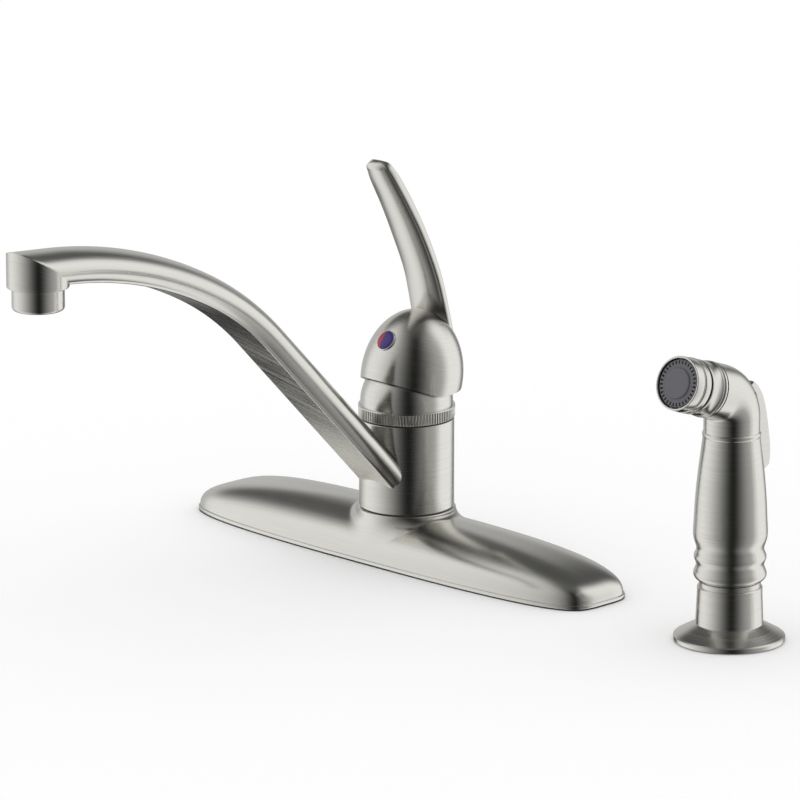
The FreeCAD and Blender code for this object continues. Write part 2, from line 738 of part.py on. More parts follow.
def inlet_seals():
    """Rubber rings under the fixed disc, one at each port."""
    rings = []
    for angle in port_angles():
        x = PORT_OFFSET * math.cos(math.radians(angle))
        y = PORT_OFFSET * math.sin(math.radians(angle))
        rings.append(tube(PORT_RADIUS + 1.4, PORT_RADIUS, SEAT_LEVEL, disc_level(), x, y))
    return Part.makeCompound(rings)


def fixed_disc():
    """Ceramic disc with the two inlets and the outlet."""
    low = disc_level()
    disc = cylinder(CARTRIDGE_RADIUS - CARTRIDGE_WALL - SEAT_GAP, low, low + DISC_THICKNESS)
    for angle in port_angles():
        x = PORT_OFFSET * math.cos(math.radians(angle))
        y = PORT_OFFSET * math.sin(math.radians(angle))
        disc = disc.cut(cylinder(PORT_RADIUS - 0.6, low - 1, low + DISC_THICKNESS + 1, x, y))
    return disc


def disc_offset():
    """How far the moving disc stands off centre with the lever raised."""
    return -STEM_BALL_DEPTH * math.sin(math.radians(HANDLE_TILT))


def moving_disc():
    """Ceramic disc with the mixing pocket, under the carrier."""
    low = disc_level() + DISC_THICKNESS
    disc = cylinder(MOVING_DISC_RADIUS, low, low + DISC_THICKNESS, 0, disc_offset())
    pocket = cylinder(MOVING_DISC_RADIUS - 3, low - 1, low + 1.2, 0, disc_offset())
    return disc.cut(pocket)


def disc_carrier():
    """Plastic carrier with the slot that the stem's ball pushes."""
    low = carrier_level()
    disc = cylinder(CARRIER_RADIUS, low, low + CARRIER_HEIGHT, 0, disc_offset())
    half = STEM_BALL_RADIUS + LOOSE_GAP
    wide = STEM_WIDTH / 2 + LOOSE_GAP
    y = disc_offset()
    slot = box((-wide, wide), (y - half, y + half), (low + 0.8, low + CARRIER_HEIGHT + 1))
    return disc.cut(slot)


def cartridge_rotor():
    """Turning core, slotted for the stem and bored for the pivot pin."""
    low = rotor_bottom()
    core = cylinder(ROTOR_RADIUS, low, ROTOR_TOP)
    wide = STEM_WIDTH / 2 + LOOSE_GAP
    slot = box((-wide, wide), (-8.6, 8.6), (low - 1, ROTOR_TOP + 1))
    pin_bore = Part.makeCylinder(PIVOT_PIN_RADIUS + SEAT_GAP / 2, 40, V(-20, 0, PIVOT_LEVEL),
                                 AXIS_X)
    return core.cut([slot, pin_bore])


def pivot_pin():
    """Steel pin that the stem tilts on."""
    half = ROTOR_RADIUS - 0.4
    return Part.makeCylinder(PIVOT_PIN_RADIUS, 2 * half, V(-half, 0, PIVOT_LEVEL), AXIS_X)


def cartridge_nut():
    """Brass ring that holds the cartridge in the hub."""
    low = CARTRIDGE_SHOULDER
    top = low + CARTRIDGE_NUT_HEIGHT
    ring = tube(CARTRIDGE_RADIUS, CARTRIDGE_NECK_RADIUS + SEAT_GAP, low, top)
    notches = []
    for index in range(4):
        notch = box((CARTRIDGE_RADIUS - 2, CARTRIDGE_RADIUS + 1), (-1.5, 1.5), (top - 2, top + 1))
        notch.rotate(ORIGIN, AXIS_Z, 90 * index + 45)
        notches.append(notch)
    return ring.cut(notches)


# ================================================================ handle
def on_handle(shape):
    """Move a piece from the handle's own frame to its raised place."""
    shape.rotate(ORIGIN, AXIS_X, -HANDLE_TILT)
    shape.translate(V(0, 0, PIVOT_LEVEL))
    return shape


def stem():
    """Square stem, tilting on the pivot pin, with a ball at its foot."""
    half = STEM_WIDTH / 2
    shaft = box((-half, half), (-half, half), (1 - STEM_BALL_DEPTH, STEM_LENGTH))
    foot = Part.makeSphere(STEM_BALL_RADIUS, V(0, 0, -STEM_BALL_DEPTH))
    pin_bore = Part.makeCylinder(PIVOT_PIN_RADIUS + RUNNING_FIT, 20, V(-10, 0, 0), AXIS_X)
    return on_handle(union(shaft, [foot]).cut(pin_bore))


def hood_radius(height):
    """Outer radius of the hood at a height above the pivot."""
    share = (height - HOOD_WIDE_HEIGHT) / HOOD_CROWN
    return HOOD_RADIUS * math.sqrt(max(0, 1 - share ** 2))


def hood_shell():
    """Egg-shaped hood, turned about the stem's axis."""
    rim = HOOD_FOOT
    top = HOOD_WIDE_HEIGHT + HOOD_CROWN
    egg = Part.Ellipse(V(0, 0, top), V(HOOD_RADIUS, 0, HOOD_WIDE_HEIGHT),
                       V(0, 0, HOOD_WIDE_HEIGHT))
    start = egg.parameter(V(hood_radius(rim), 0, rim))
    end = egg.parameter(V(0, 0, top))
    side = Part.ArcOfEllipse(egg, min(start, end), max(start, end)).toShape()
    if side.Length > HOOD_CROWN * 2:
        side = Part.ArcOfEllipse(egg, max(start, end), min(start, end) + 2 * math.pi).toShape()
    edges = [side, line(V(0, 0, top), V(0, 0, rim)), line(V(0, 0, rim), V(hood_radius(rim), 0, rim))]
    shell = turned_wire(Part.__sortEdges__(edges))
    shell.translate(V(0, HOOD_SETBACK, 0))
    return shell


def lever_stations():
    """Stations of the lever: place (y, z), width, thickness, section scale."""
    root, mid, tip = LEVER_ROOT_WIDTH, LEVER_MID_WIDTH, LEVER_TIP_WIDTH
    full = LEVER_THICKNESS
    return [
        (13.3, 31.5, root, full),
        (7.8, 43.8, root, full),
        (-1.2, 61.3, root * 0.4 + mid * 0.6, full),
        (-14.4, 79.5, mid, full),
        (-25.4, 92.9, mid * 0.4 + tip * 0.6, full),
        (-35.5, 103.5, tip, full * 0.97),
        (-39.3, 107.3, tip * 0.92, full * 0.86),
        (-41.1, 109.2, tip * 0.62, full * 0.5),
    ]


def lever_section(width, thickness):
    """Spoon-shaped section, hollow on its front face.

    Drawn in the XY plane: X across the lever, -Y to its front.
    """
    half = width / 2
    deep = thickness / 2
    hollow = LEVER_HOLLOW * thickness / LEVER_THICKNESS
    points = [V(0, -deep + hollow, 0), V(half * 0.5, -deep + hollow * 0.62, 0)]
    points += [V(half * 0.86, -deep, 0), V(half, -deep * 0.25, 0), V(half * 0.72, deep * 0.62, 0)]
    points += [V(0, deep, 0)]
    mirrored = [V(-point.x, point.y, 0) for point in reversed(points[1:-1])]
    return smooth_loop(points + mirrored)


def lever():
    """Blade that rises from the hood's back and leans to the front."""
    stations = lever_stations()
    sections = []
    for index, (y, z, width, thickness) in enumerate(stations):
        before = stations[max(index - 1, 0)]
        after = stations[min(index + 1, len(stations) - 1)]
        lean = math.degrees(math.atan2(before[0] - after[0], after[1] - before[1]))
        section = lever_section(width, thickness)
        section.rotate(ORIGIN, AXIS_X, lean)
        section.translate(V(0, y, z))
        sections.append(section)
    return Part.makeLoft(sections, True)


def handle():
    """Hood and lever cast as one, hollow over the dome and the stem."""
    solid = hood_shell().fuse(lever())
    clear = Part.makeSphere(DOME_RADIUS + HOOD_DOME_GAP)
    reach = HOOD_DOME_GAP + STEM_LENGTH
    socket = STEM_WIDTH / 2 + SEAT_GAP
    stem_hole = box((-socket, socket), (-socket, socket), (0, reach))
    solid = solid.cut([clear, stem_hole, set_screw_bore(), button_pocket()])
    return on_handle(solid).cut(visor())


def visor():
    """Block under the hood's rim: level at the back, rising to the front."""
    rise = HOOD_VISOR_SLOPE
    far = 60
    front = V(-far, -far, HOOD_RIM_LEVEL + (far + HOOD_VISOR_START) * rise)
    bend = V(-far, HOOD_VISOR_START, HOOD_RIM_LEVEL)
    back = V(-far, far, HOOD_RIM_LEVEL)
    angle = math.atan(rise)
    run = HOOD_VISOR_ROUND * math.tan(angle / 2)
    first = V(-far, bend.y - run * math.cos(angle), bend.z + run * math.sin(angle))
    last = V(-far, bend.y + run, bend.z)
    middle_drop = HOOD_VISOR_ROUND * (1 / math.cos(angle / 2) - 1)
    middle = V(-far, bend.y + middle_drop * math.sin(angle / 2),
               bend.z + middle_drop * math.cos(angle / 2))
    edges = [line(front, first), arc(first, middle, last), line(last, back)]
    edges += [line(back, V(-far, far, 0)), line(V(-far, far, 0), V(-far, -far, 0))]
    edges.append(line(V(-far, -far, 0), front))
    return Part.Face(Part.Wire(edges)).extrude(V(2 * far, 0, 0))


def set_screw_bore():
    """Threaded way for the set screw, at the hood's back."""
    start = V(0, STEM_WIDTH / 2, STEM_LENGTH - 4)
    return Part.makeCylinder(SET_SCREW_RADIUS + SEAT_GAP / 2, 40, start, AXIS_Y)


def set_screw():
    """Socket set screw, seated on the stem."""
    start = V(0, STEM_WIDTH / 2, STEM_LENGTH - 4)
    screw = Part.makeCylinder(SET_SCREW_RADIUS, SET_SCREW_LENGTH, start, AXIS_Y)
    hexagon = []
    for corner in range(7):
        angle = math.pi / 3 * corner
        hexagon.append(V(1.1 * math.cos(angle), start.y + SET_SCREW_LENGTH - 3,
                         start.z + 1.1 * math.sin(angle)))
    socket = Part.Face(Part.makePolygon(hexagon)).extrude(V(0, 4, 0))
    return on_handle(screw.cut(socket))


def button_axis():
    """Centre of the index button on the hood, and its outward direction."""
    radius = hood_radius(BUTTON_HEIGHT)
    slope = (BUTTON_HEIGHT - HOOD_WIDE_HEIGHT) * HOOD_RADIUS ** 2 / HOOD_CROWN ** 2
    outward = V(0, -radius, slope)
    outward.normalize()
    return V(0, HOOD_SETBACK - radius, BUTTON_HEIGHT), outward


def button_pocket():
    """Round pocket that the index button sits in."""
    centre, outward = button_axis()
    return Part.makeCylinder(BUTTON_RADIUS + SEAT_GAP, 12, centre - outward * 1.8, outward)


def index_button():
    """Domed hot and cold button."""
    centre, outward = button_axis()
    rise = BUTTON_STANDOUT + 1.2
    ball_radius = (BUTTON_RADIUS ** 2 + rise ** 2) / (2 * rise)
    base = centre - outward * 1.8
    disc = Part.makeCylinder(BUTTON_RADIUS, 1.4, base, outward)
    cap_centre = base + outward * (1.4 + rise - ball_radius)
    cap = Part.makeSphere(ball_radius, cap_centre)
    cap = cap.common(Part.makeCylinder(BUTTON_RADIUS, 6, base + outward * 1.4, outward))
    return on_handle(union(disc, [cap]))


# ================================================================ spray holder
def spray_holder():
    """Flange, sleeve and threaded shank that the spray stands in."""
    top = HOLDER_HEIGHT
    low = -HOLDER_SHANK_LENGTH
    mouth = HOLDER_MOUTH_RADIUS
    outline = [(HOLDER_BORE_RADIUS, low), (HOLDER_SHANK_RADIUS, low), (HOLDER_SHANK_RADIUS, 1.2)]
    outline += [(FLANGE_RADIUS - 1.5, 1.2), (FLANGE_RADIUS - 1.5, 0.6), (FLANGE_RADIUS, 0.6)]
    outline += [(FLANGE_RADIUS, FLANGE_RIM_HEIGHT), (FLANGE_RADIUS - 0.6, FLANGE_RIM_HEIGHT + 0.5)]
    outline += [(FLANGE_RADIUS - 5.5, 5.6), (HOLDER_FOOT_RADIUS + 1.4, FLANGE_TOP - 0.8)]
    outline += [(HOLDER_FOOT_RADIUS, FLANGE_TOP), (HOLDER_FOOT_RADIUS, 10), (HOLDER_TOP_RADIUS, 22)]
    outline += [(HOLDER_TOP_RADIUS, top - 0.4), (HOLDER_TOP_RADIUS - 0.4, top), (mouth, top)]
    outline += [(mouth, HOLDER_CUP_FLOOR), (HOLDER_BORE_RADIUS, HOLDER_CUP_FLOOR)]
    return turned(outline, SPRAY_X)


def holder_gasket():
    """Soft ring under the holder's flange, on the deck."""
    outer = FLANGE_RADIUS - 1.5 - LOOSE_GAP
    ring = tube(outer, HOLDER_SHANK_RADIUS + SEAT_GAP, 0, 1.2, SPRAY_X)
    return ring


def holder_nut():
    """Winged nut that clamps the holder under the deck."""
    return winged_nut(HOLDER_NUT_RADIUS, HOLDER_SHANK_RADIUS, -DECK_THICKNESS, HOLDER_NUT_HEIGHT,
                      SPRAY_X)


# ================================================================ hose coupling
def hose_coupling():
    """Coupling that stands in the holder and carries the spray."""
    seat = HOLDER_HEIGHT
    neck_top = seat + NECK_RING_HEIGHT
    bore = COUPLING_BORE_RADIUS
    outline = [(bore, HOLDER_CUP_FLOOR + 2), (COUPLING_RADIUS - 1.2, HOLDER_CUP_FLOOR + 2)]
    outline += [(COUPLING_RADIUS, HOLDER_CUP_FLOOR + 3.2), (COUPLING_RADIUS, seat)]
    outline += [(NECK_RING_RADIUS, seat), (NECK_RING_RADIUS, neck_top), (SPIGOT_RADIUS, neck_top)]
    outline += [(SPIGOT_RADIUS, SPIGOT_TOP), (bore, SPIGOT_TOP)]
    body = turned(outline, SPRAY_X)
    groove = tube(SPIGOT_RADIUS + 1, SPIGOT_RADIUS - 1.6, SPIGOT_TOP - 4.4, SPIGOT_TOP - 2.4, SPRAY_X)
    return body.cut(groove)


def coupling_seal():
    """O-ring on the coupling's spigot."""
    centre = SPIGOT_RADIUS - 0.75
    return Part.makeTorus(centre, 0.8, V(SPRAY_X, 0, SPIGOT_TOP - 3.4))


# ================================================================ spray body
def grip_profile():
    """Smooth outline of the grip from its foot to its neck: (radius, level)."""
    return [
        (13.9, GRIP_BOTTOM), (16.2, 32.0), (15.2, 35.2), (16.2, 38.9), (15.2, 41.9),
        (16.2, 46.6), (16.5, 53.5), (16.1, 62.0), (15.4, 71.5), (14.4, 81.0), (13.3, 90.0),
        (12.75, 95.0),
    ]


def grip():
    """Beaded grip, turned about the spray's axis."""
    points = [V(radius, 0, level) for radius, level in grip_profile()]
    curve = Part.BSplineCurve()
    curve.interpolate(points)
    low = points[0]
    high = points[-1]
    edges = [line(V(0, 0, low.z), low), curve.toShape(), line(high, V(0, 0, high.z))]
    edges.append(line(V(0, 0, high.z), V(0, 0, low.z)))
    solid = turned_wire(edges)
    solid.translate(V(SPRAY_X, 0, 0))
    return solid


def nozzle_direction():
    """Direction in which the nozzle points."""
    tilt = math.radians(NOZZLE_TILT)
    return V(0, -math.cos(tilt), math.sin(tilt))


def nozzle_cylinder(radius, start, end):
    """Cylinder along the nozzle between two distances from the elbow."""
    direction = nozzle_direction()
    base = V(SPRAY_X, 0, ELBOW_LEVEL) + direction * start
    return Part.makeCylinder(radius, end - start, base, direction)


def elbow():
    """Bend from the grip's axis to the nozzle's."""
    turn = 90 - NOZZLE_TILT
    setback = ELBOW_BEND * math.tan(math.radians(turn) / 2)
    start = ELBOW_LEVEL - setback
    circle = Part.Face(Part.Wire([Part.makeCircle(ELBOW_RADIUS, V(SPRAY_X, 0, start), AXIS_Z)]))
    bend = circle.revolve(V(SPRAY_X, -ELBOW_BEND, start), AXIS_X, turn)
    foot = cylinder(ELBOW_RADIUS, grip_profile()[-1][1] - 1, start, SPRAY_X)
    return union(foot, [bend, nozzle_cylinder(ELBOW_RADIUS, setback - 0.01, NOZZLE_COLLAR_START)])


def spray_body():
    """Grip, elbow and nozzle neck, moulded as one hollow piece."""
    neck_top = grip_profile()[-1][1]
    bead = Part.makeTorus(ELBOW_RADIUS - 0.9, 1.5, V(SPRAY_X, 0, neck_top))
    body = grip().fuse([elbow(), bead])
    body = body.fuse(nozzle_cylinder(NOZZLE_NECK_RADIUS, 8, NOZZLE_FACE - FACE_THICKNESS - 1))
    cuts = [cylinder(SPIGOT_RADIUS + RUNNING_FIT, GRIP_BOTTOM - 1, SPIGOT_TOP + 1, SPRAY_X)]
    cuts.append(cylinder(WATER_BORE_RADIUS, SPIGOT_TOP, SLANT_BORE_LEVEL + 1, SPRAY_X))
    cuts.append(Part.makeCylinder(WATER_BORE_RADIUS - 0.5, SLANT_BORE_LENGTH,
                                  V(SPRAY_X, 0, SLANT_BORE_LEVEL), V(0, -0.45, 1)))
    cuts.append(nozzle_cylinder(NOZZLE_BORE_RADIUS, 4, NOZZLE_FACE))
    cuts.append(trigger_recess())
    plunger_bore = PLUNGER_RADIUS + RUNNING_FIT
    cuts.append(Part.makeCylinder(plunger_bore, 30, V(SPRAY_X, 0, PLUNGER_LEVEL), AXIS_Y))
    pin_bore = Part.makeCylinder(TRIGGER_PIN_RADIUS + SEAT_GAP / 2, 20,
                                 V(SPRAY_X - 10, TRIGGER_PIVOT_Y, TRIGGER_PIVOT_Z), AXIS_X)
    cuts.append(pin_bore)
    return body.cut(cuts)


def nozzle_collar():
    """Metal band behind the nozzle's front ring."""
    start = NOZZLE_COLLAR_START + 0.4
    end = NOZZLE_RING_START - 0.2
    ring = nozzle_cylinder(NOZZLE_COLLAR_RADIUS, start, end)
    ring = ring.makeFillet(0.8, [edge for edge in ring.Edges if edge.Length > 20])
    return ring.cut(nozzle_cylinder(NOZZLE_NECK_RADIUS + SEAT_GAP, start - 1, end + 1))


def nozzle_ring():
    """Front ring that holds the face on the nozzle."""
    start = NOZZLE_RING_START + 0.2
    ring = nozzle_cylinder(NOZZLE_RING_RADIUS, start, NOZZLE_FACE)
    ring = ring.makeFillet(0.7, [edge for edge in ring.Edges if edge.Length > 20])
    back = nozzle_cylinder(NOZZLE_NECK_RADIUS + SEAT_GAP, start - 1, NOZZLE_FACE - FACE_THICKNESS - 1)
    front = nozzle_cylinder(FACE_RADIUS + SEAT_GAP, NOZZLE_FACE - FACE_THICKNESS - 1, NOZZLE_FACE + 1)
    return ring.cut([back, front])


def spray_face():
    """Dark face with a circle of radial slots."""
    end = NOZZLE_FACE - FACE_RECESS
    start = NOZZLE_FACE - FACE_THICKNESS - 1
    disc = nozzle_cylinder(FACE_RADIUS, start, end)
    slots = []
    for index in range(FACE_SLOTS):
        low = FACE_SLOT_RADIUS - FACE_SLOT_LENGTH / 2
        high = FACE_SLOT_RADIUS + FACE_SLOT_LENGTH / 2
        slot = box((low, high), (-FACE_SLOT_WIDTH / 2, FACE_SLOT_WIDTH / 2), (end - 1.5, end + 1))
        slot.rotate(ORIGIN, AXIS_Z, 360 / FACE_SLOTS * index)
        slots.append(on_nozzle(slot))
    pocket = nozzle_cylinder(PLUG_RADIUS + SEAT_GAP, end - 2, end + 1)
    return disc.cut(slots + [pocket])


def on_nozzle(shape):
    """Turn a piece drawn along Z from the origin onto the nozzle's axis."""
    shape.rotate(ORIGIN, AXIS_X, 90 - NOZZLE_TILT)
    shape.translate(V(SPRAY_X, 0, ELBOW_LEVEL))
    return shape


def face_plug():
    """Raised disc in the middle of the face."""
    end = NOZZLE_FACE - FACE_RECESS
    plug = nozzle_cylinder(PLUG_RADIUS, end - 2, end + PLUG_STANDOUT)
    return plug.makeFillet(0.5, plug.Edges[:1])


# ================================================================ spray trigger
def paddle_outer(gap):
    """Outer side line of the trigger from its top down: (y, z), with a gap added."""
    points = [(7.0, 118.6), (11.8, 113.8), (15.3, 105.2), (17.4, 94.6), (18.6, 85.0), (17.9, 79.0)]
    return [(points[0][0] + gap, points[0][1] + gap)] + [(y + gap, z) for y, z in points[1:]]


def cheek_inner(gap):
    """Inner side line of the trigger's cheeks from its foot up, with a gap added."""
    points = [(15.4, 77.4), (12.4, 78.6), (11.0, 81.5), (9.8, 88.0), (8.8, 98.0), (7.4, 105.6),
              (3.0, 110.6), (1.9, 114.0)]
    return [(y - gap, z - gap) for y, z in points]


def web_inner():
    """Inner side line of the trigger's web, between the cheeks, from its foot up."""
    return [(16.4, 77.0), (15.2, 80.5), (14.8, 88.0), (13.5, 98.0), (10.6, 107.5), (7.6, 111.4)]


def side_curve(points):
    """Smooth curve through (y, z) points."""
    curve = Part.BSplineCurve()
    curve.interpolate([V(0, y, z) for y, z in points])
    return curve.toShape()


def across_spray(edges, width):
    """Solid of a width from a side outline, centred on the spray."""
    solid = Part.Face(Part.Wire(edges)).extrude(V(width, 0, 0))
    solid.translate(V(SPRAY_X - width / 2, 0, 0))
    return solid


def paddle(gap, width):
    """Curved paddle of a width, between its outer line and its cheeks' inner line."""
    outer = paddle_outer(gap)
    inner = cheek_inner(gap)
    top = (TRIGGER_PIVOT_Y - 1.6 - gap, TRIGGER_PIVOT_Z + 2.6 + gap)
    corners = [V(0, y, z) for y, z in (inner[-1], top, outer[0])]
    edges = [side_curve(outer), line(V(0, *outer[-1]), V(0, *inner[0])), side_curve(inner)]
    edges += [line(corners[0], corners[1]), line(corners[1], corners[2])]
    return across_spray(edges, width)


def pressed(point):
    """Where a (y, z) point of the trigger's side lies when it is fully pressed."""
    swing = math.radians(TRIGGER_TRAVEL)
    y = point[0] - TRIGGER_PIVOT_Y
    z = point[1] - TRIGGER_PIVOT_Z
    return (TRIGGER_PIVOT_Y + y * math.cos(swing) + z * math.sin(swing),
            TRIGGER_PIVOT_Z + z * math.cos(swing) - y * math.sin(swing))


def round_pin(point, radius):
    """Point at a radius round the trigger's pin, in the direction of a (y, z) point."""
    toward = V(0, point[0] - TRIGGER_PIVOT_Y, point[1] - TRIGGER_PIVOT_Z)
    return V(0, TRIGGER_PIVOT_Y, TRIGGER_PIVOT_Z) + toward * (radius / toward.Length)


def trigger_recess():
    """Space in the grip that the trigger moves in: its foot sweeps an arc round the pin."""
    inner = cheek_inner(TRIGGER_GAP)
    outer = paddle_outer(TRIGGER_GAP + TRIGGER_SWING_ROOM)
    foot = cheek_inner(0)[0]
    reach = math.hypot(foot[0] - TRIGGER_PIVOT_Y, foot[1] - TRIGGER_PIVOT_Z) + TRIGGER_GAP
    foot_in = round_pin(pressed(inner[0]), reach)
    foot_out = round_pin(outer[-1], reach)
    foot_middle = round_pin(((foot_in.y + foot_out.y) / 2, (foot_in.z + foot_out.z) / 2), reach)
    deep = [(foot_in.y, foot_in.z)] + [pressed(point) for point in inner[1:-1]] + [inner[-1]]
    shallow = outer[:-1] + [(foot_out.y, foot_out.z)]
    top = V(0, TRIGGER_PIVOT_Y - 1.6 - TRIGGER_GAP, TRIGGER_PIVOT_Z + 2.6 + TRIGGER_GAP)
    edges = [side_curve(shallow), Part.Arc(foot_out, foot_middle, foot_in).toShape(), side_curve(deep)]
    edges += [line(V(0, *deep[-1]), top), line(top, V(0, *shallow[0]))]
    return across_spray(edges, TRIGGER_WIDTH + 2 * TRIGGER_GAP)


def trigger_hollow():
    """Space between the trigger's cheeks, behind its web."""
    inner = web_inner()
    low = V(0, 0, inner[0][1] - 3)
    high = V(0, 0, inner[-1][1])
    edges = [line(V(0, inner[0][0], low.z), V(0, *inner[0])), side_curve(inner)]
    edges += [line(V(0, *inner[-1]), high), line(high, low)]
    edges.append(line(low, V(0, inner[0][0], low.z)))
    return across_spray(edges, TRIGGER_WIDTH - 2 * TRIGGER_WALL)


def trigger():
    """Thumb paddle with a cheek on both sides, hinged at its top."""
    solid = paddle(0, TRIGGER_WIDTH)
    edges = [edge for edge in solid.Edges if abs(edge.CenterOfMass.x - SPRAY_X) > 1
             and edge.CenterOfMass.y > 14.5]
    solid = fillet_or_keep(solid, 1.2, edges)
    pin_bore = Part.makeCylinder(TRIGGER_PIN_RADIUS + RUNNING_FIT, 20,
                                 V(SPRAY_X - 10, TRIGGER_PIVOT_Y, TRIGGER_PIVOT_Z), AXIS_X)
    return solid.cut([pin_bore, trigger_hollow()])


def trigger_pin():
    """Steel pin across the top of the spray."""
    half = TRIGGER_WIDTH / 2 + 1.6
    return Part.makeCylinder(TRIGGER_PIN_RADIUS, 2 * half,
                             V(SPRAY_X - half, TRIGGER_PIVOT_Y, TRIGGER_PIVOT_Z), AXIS_X)


def plunger():
    """Pin and seal that the trigger pushes in to let water through."""
    pin = Part.makeCylinder(PLUNGER_RADIUS, PLUNGER_TIP - 1, V(SPRAY_X, 1, PLUNGER_LEVEL), AXIS_Y)
    head = Part.makeCylinder(PLUNGER_HEAD_RADIUS, PLUNGER_HEAD_LENGTH,
                             V(SPRAY_X, 1, PLUNGER_LEVEL), AXIS_Y)
    return union(pin, [head])


PIECES = {
    "deck_plate": deck_plate,
    "plate_gasket": plate_gasket,
    "valve_body": valve_body,
    "supply_shank_left": lambda: supply_shank(-SHANK_SPACING / 2),
    "supply_shank_right": lambda: supply_shank(SHANK_SPACING / 2),
    "shank_washers": shank_washers,
    "shank_nuts": shank_nuts,
    "spray_nipple": spray_nipple,
    "spout_seals": spout_seals,
    "diverter_seat": diverter_seat,
    "diverter_piston": diverter_piston,
    "lower_glide_ring": lambda: glide_ring(COLLAR_TOP),
    "upper_glide_ring": lambda: glide_ring(sleeve_top()),
    "spout": spout,
    "aerator_housing": aerator_housing,
    "aerator_screen": aerator_screen,
    "aerator_washer": aerator_washer,
    "bonnet": bonnet,
    "cartridge_housing": cartridge_housing,
    "inlet_seals": inlet_seals,
    "fixed_disc": fixed_disc,
    "moving_disc": moving_disc,
    "disc_carrier": disc_carrier,
    "cartridge_rotor": cartridge_rotor,
    "pivot_pin": pivot_pin,
    "cartridge_nut": cartridge_nut,
    "stem": stem,
    "handle": handle,
    "set_screw": set_screw,
    "index_button": index_button,
    "spray_holder": spray_holder,
    "holder_gasket": holder_gasket,
    "holder_nut": holder_nut,
    "hose_coupling": hose_coupling,
    "coupling_seal": coupling_seal,
    "spray_body": spray_body,
    "nozzle_collar": nozzle_collar,
    "nozzle_ring": nozzle_ring,
    "spray_face": spray_face,
    "face_plug": face_plug,
    "trigger": trigger,
    "trigger_pin": trigger_pin,
    "plunger": plunger,
}


def main():
    """Build every piece and write each to its own file."""
    os.makedirs("parts", exist_ok=True)
    for name, build in PIECES.items():
        shape = build()
        print(name, "solids", len(shape.Solids), "valid", shape.isValid(),
              "volume", round(shape.Volume))
        shape.exportStep("parts/" + name + ".step")


main()
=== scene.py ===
"""Side spray kitchen faucet: looks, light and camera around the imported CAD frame.

The frame has +X along the deck plate towards the side spray, -Y towards the user
and +Z up. Sizes are millimetres and degrees, shares and powers are plain numbers,
and the camera's sizes are metres. Meshes are written in metres.
"""

import json
import logging
import math
from dataclasses import dataclass
from enum import Enum
from typing import Callable, Dict, List, Sequence, Tuple

import bmesh
import bpy
import numpy as np
from mathutils import Matrix, Vector

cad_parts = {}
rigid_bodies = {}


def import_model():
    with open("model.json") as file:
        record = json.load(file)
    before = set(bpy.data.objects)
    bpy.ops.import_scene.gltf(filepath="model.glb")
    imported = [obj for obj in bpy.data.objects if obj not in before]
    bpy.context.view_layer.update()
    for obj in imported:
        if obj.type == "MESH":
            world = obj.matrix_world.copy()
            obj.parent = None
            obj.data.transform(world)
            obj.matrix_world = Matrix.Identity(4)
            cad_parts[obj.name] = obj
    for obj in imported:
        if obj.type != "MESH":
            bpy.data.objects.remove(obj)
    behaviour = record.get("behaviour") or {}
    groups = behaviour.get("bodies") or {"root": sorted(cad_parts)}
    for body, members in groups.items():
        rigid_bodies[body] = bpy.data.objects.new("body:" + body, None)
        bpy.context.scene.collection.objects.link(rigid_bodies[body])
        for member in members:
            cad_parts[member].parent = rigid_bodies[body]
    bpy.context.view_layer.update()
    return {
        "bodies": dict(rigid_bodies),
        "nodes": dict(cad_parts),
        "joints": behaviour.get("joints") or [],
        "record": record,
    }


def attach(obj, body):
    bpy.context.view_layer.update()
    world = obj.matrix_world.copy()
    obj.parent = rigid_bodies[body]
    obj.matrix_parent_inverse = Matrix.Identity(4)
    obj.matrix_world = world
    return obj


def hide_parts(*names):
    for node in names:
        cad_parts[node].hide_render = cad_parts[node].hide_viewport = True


LOG = logging.getLogger("faucet")
MM = 0.001
FULL_TURN = 2 * math.pi
HALVINGS = 40
Point = Tuple[float, float, float]
Colour = Tuple[float, float, float]
Profile = Sequence[Sequence[float]]
Grid = np.ndarray   # rows x columns x 3, millimetres


# ------------------------------------------------------------------ sizes
@dataclass(frozen=True)
class CameraSizes:
    """Camera fitted to the photograph; the lens and sensor are millimetres."""

    back: Point = (0.685, -0.685, 0.2487)
    distance: float = 3.030
    shift_right: float = 0.003086
    shift_up: float = -0.07102
    lens: float = 291.6
    sensor: float = 36.0


@dataclass(frozen=True)
class PlateSizes:
    """Deck plate with its collar."""

    length: float = 255.4
    width: float = 59.4
    height: float = 21.6
    rim_height: float = 2.2
    rim_step: float = 0.7
    end_power: float = 2.44
    side_power: float = 4.66
    length_power: float = 2.6
    width_power: float = 2.1
    collar_radius: float = 22.9
    collar_top: float = 22.9
    collar_edge: float = 0.35
    fillet: float = 5.0
    foot_gap: float = 0.7
    row_power: float = 1.9


@dataclass(frozen=True)
class SpoutSizes:
    """Sleeve, arm and outlet head; start and bend_y are places on the underside."""

    sleeve_radius: float = 22.2
    sleeve_low: float = 23.6
    sleeve_high: float = 65.6
    bore_radius: float = 19.98
    reach: float = 228.1
    head_radius: float = 13.9
    head_bottom: float = 165.8
    base_half: float = 11.0
    wide_half: float = 13.9
    section_height: float = 14.4
    flank: float = 6.0
    slope: float = 45.3
    mid_slope: float = 27.6
    end_slope: float = 4.3
    start: Tuple[float, float] = (-10.0, 26.5)
    bend_y: float = -97.8
    first_radius: float = 150.6
    second_radius: float = 219.0
    past_head: float = 6.0
    bulge: float = 1.008
    foot_ring: float = 0.6
    head_edge: float = 0.6


@dataclass(frozen=True)
class BonnetSizes:
    """Knurled ring and dome."""

    knurl_radius: float = 22.6
    knurl_low: float = 66.3
    knurl_high: float = 71.9
    knurl_count: int = 96
    knurl_depth: float = 0.45
    dome_radius: float = 21.6
    dome_end: float = 52.0
    pivot: float = 73.2


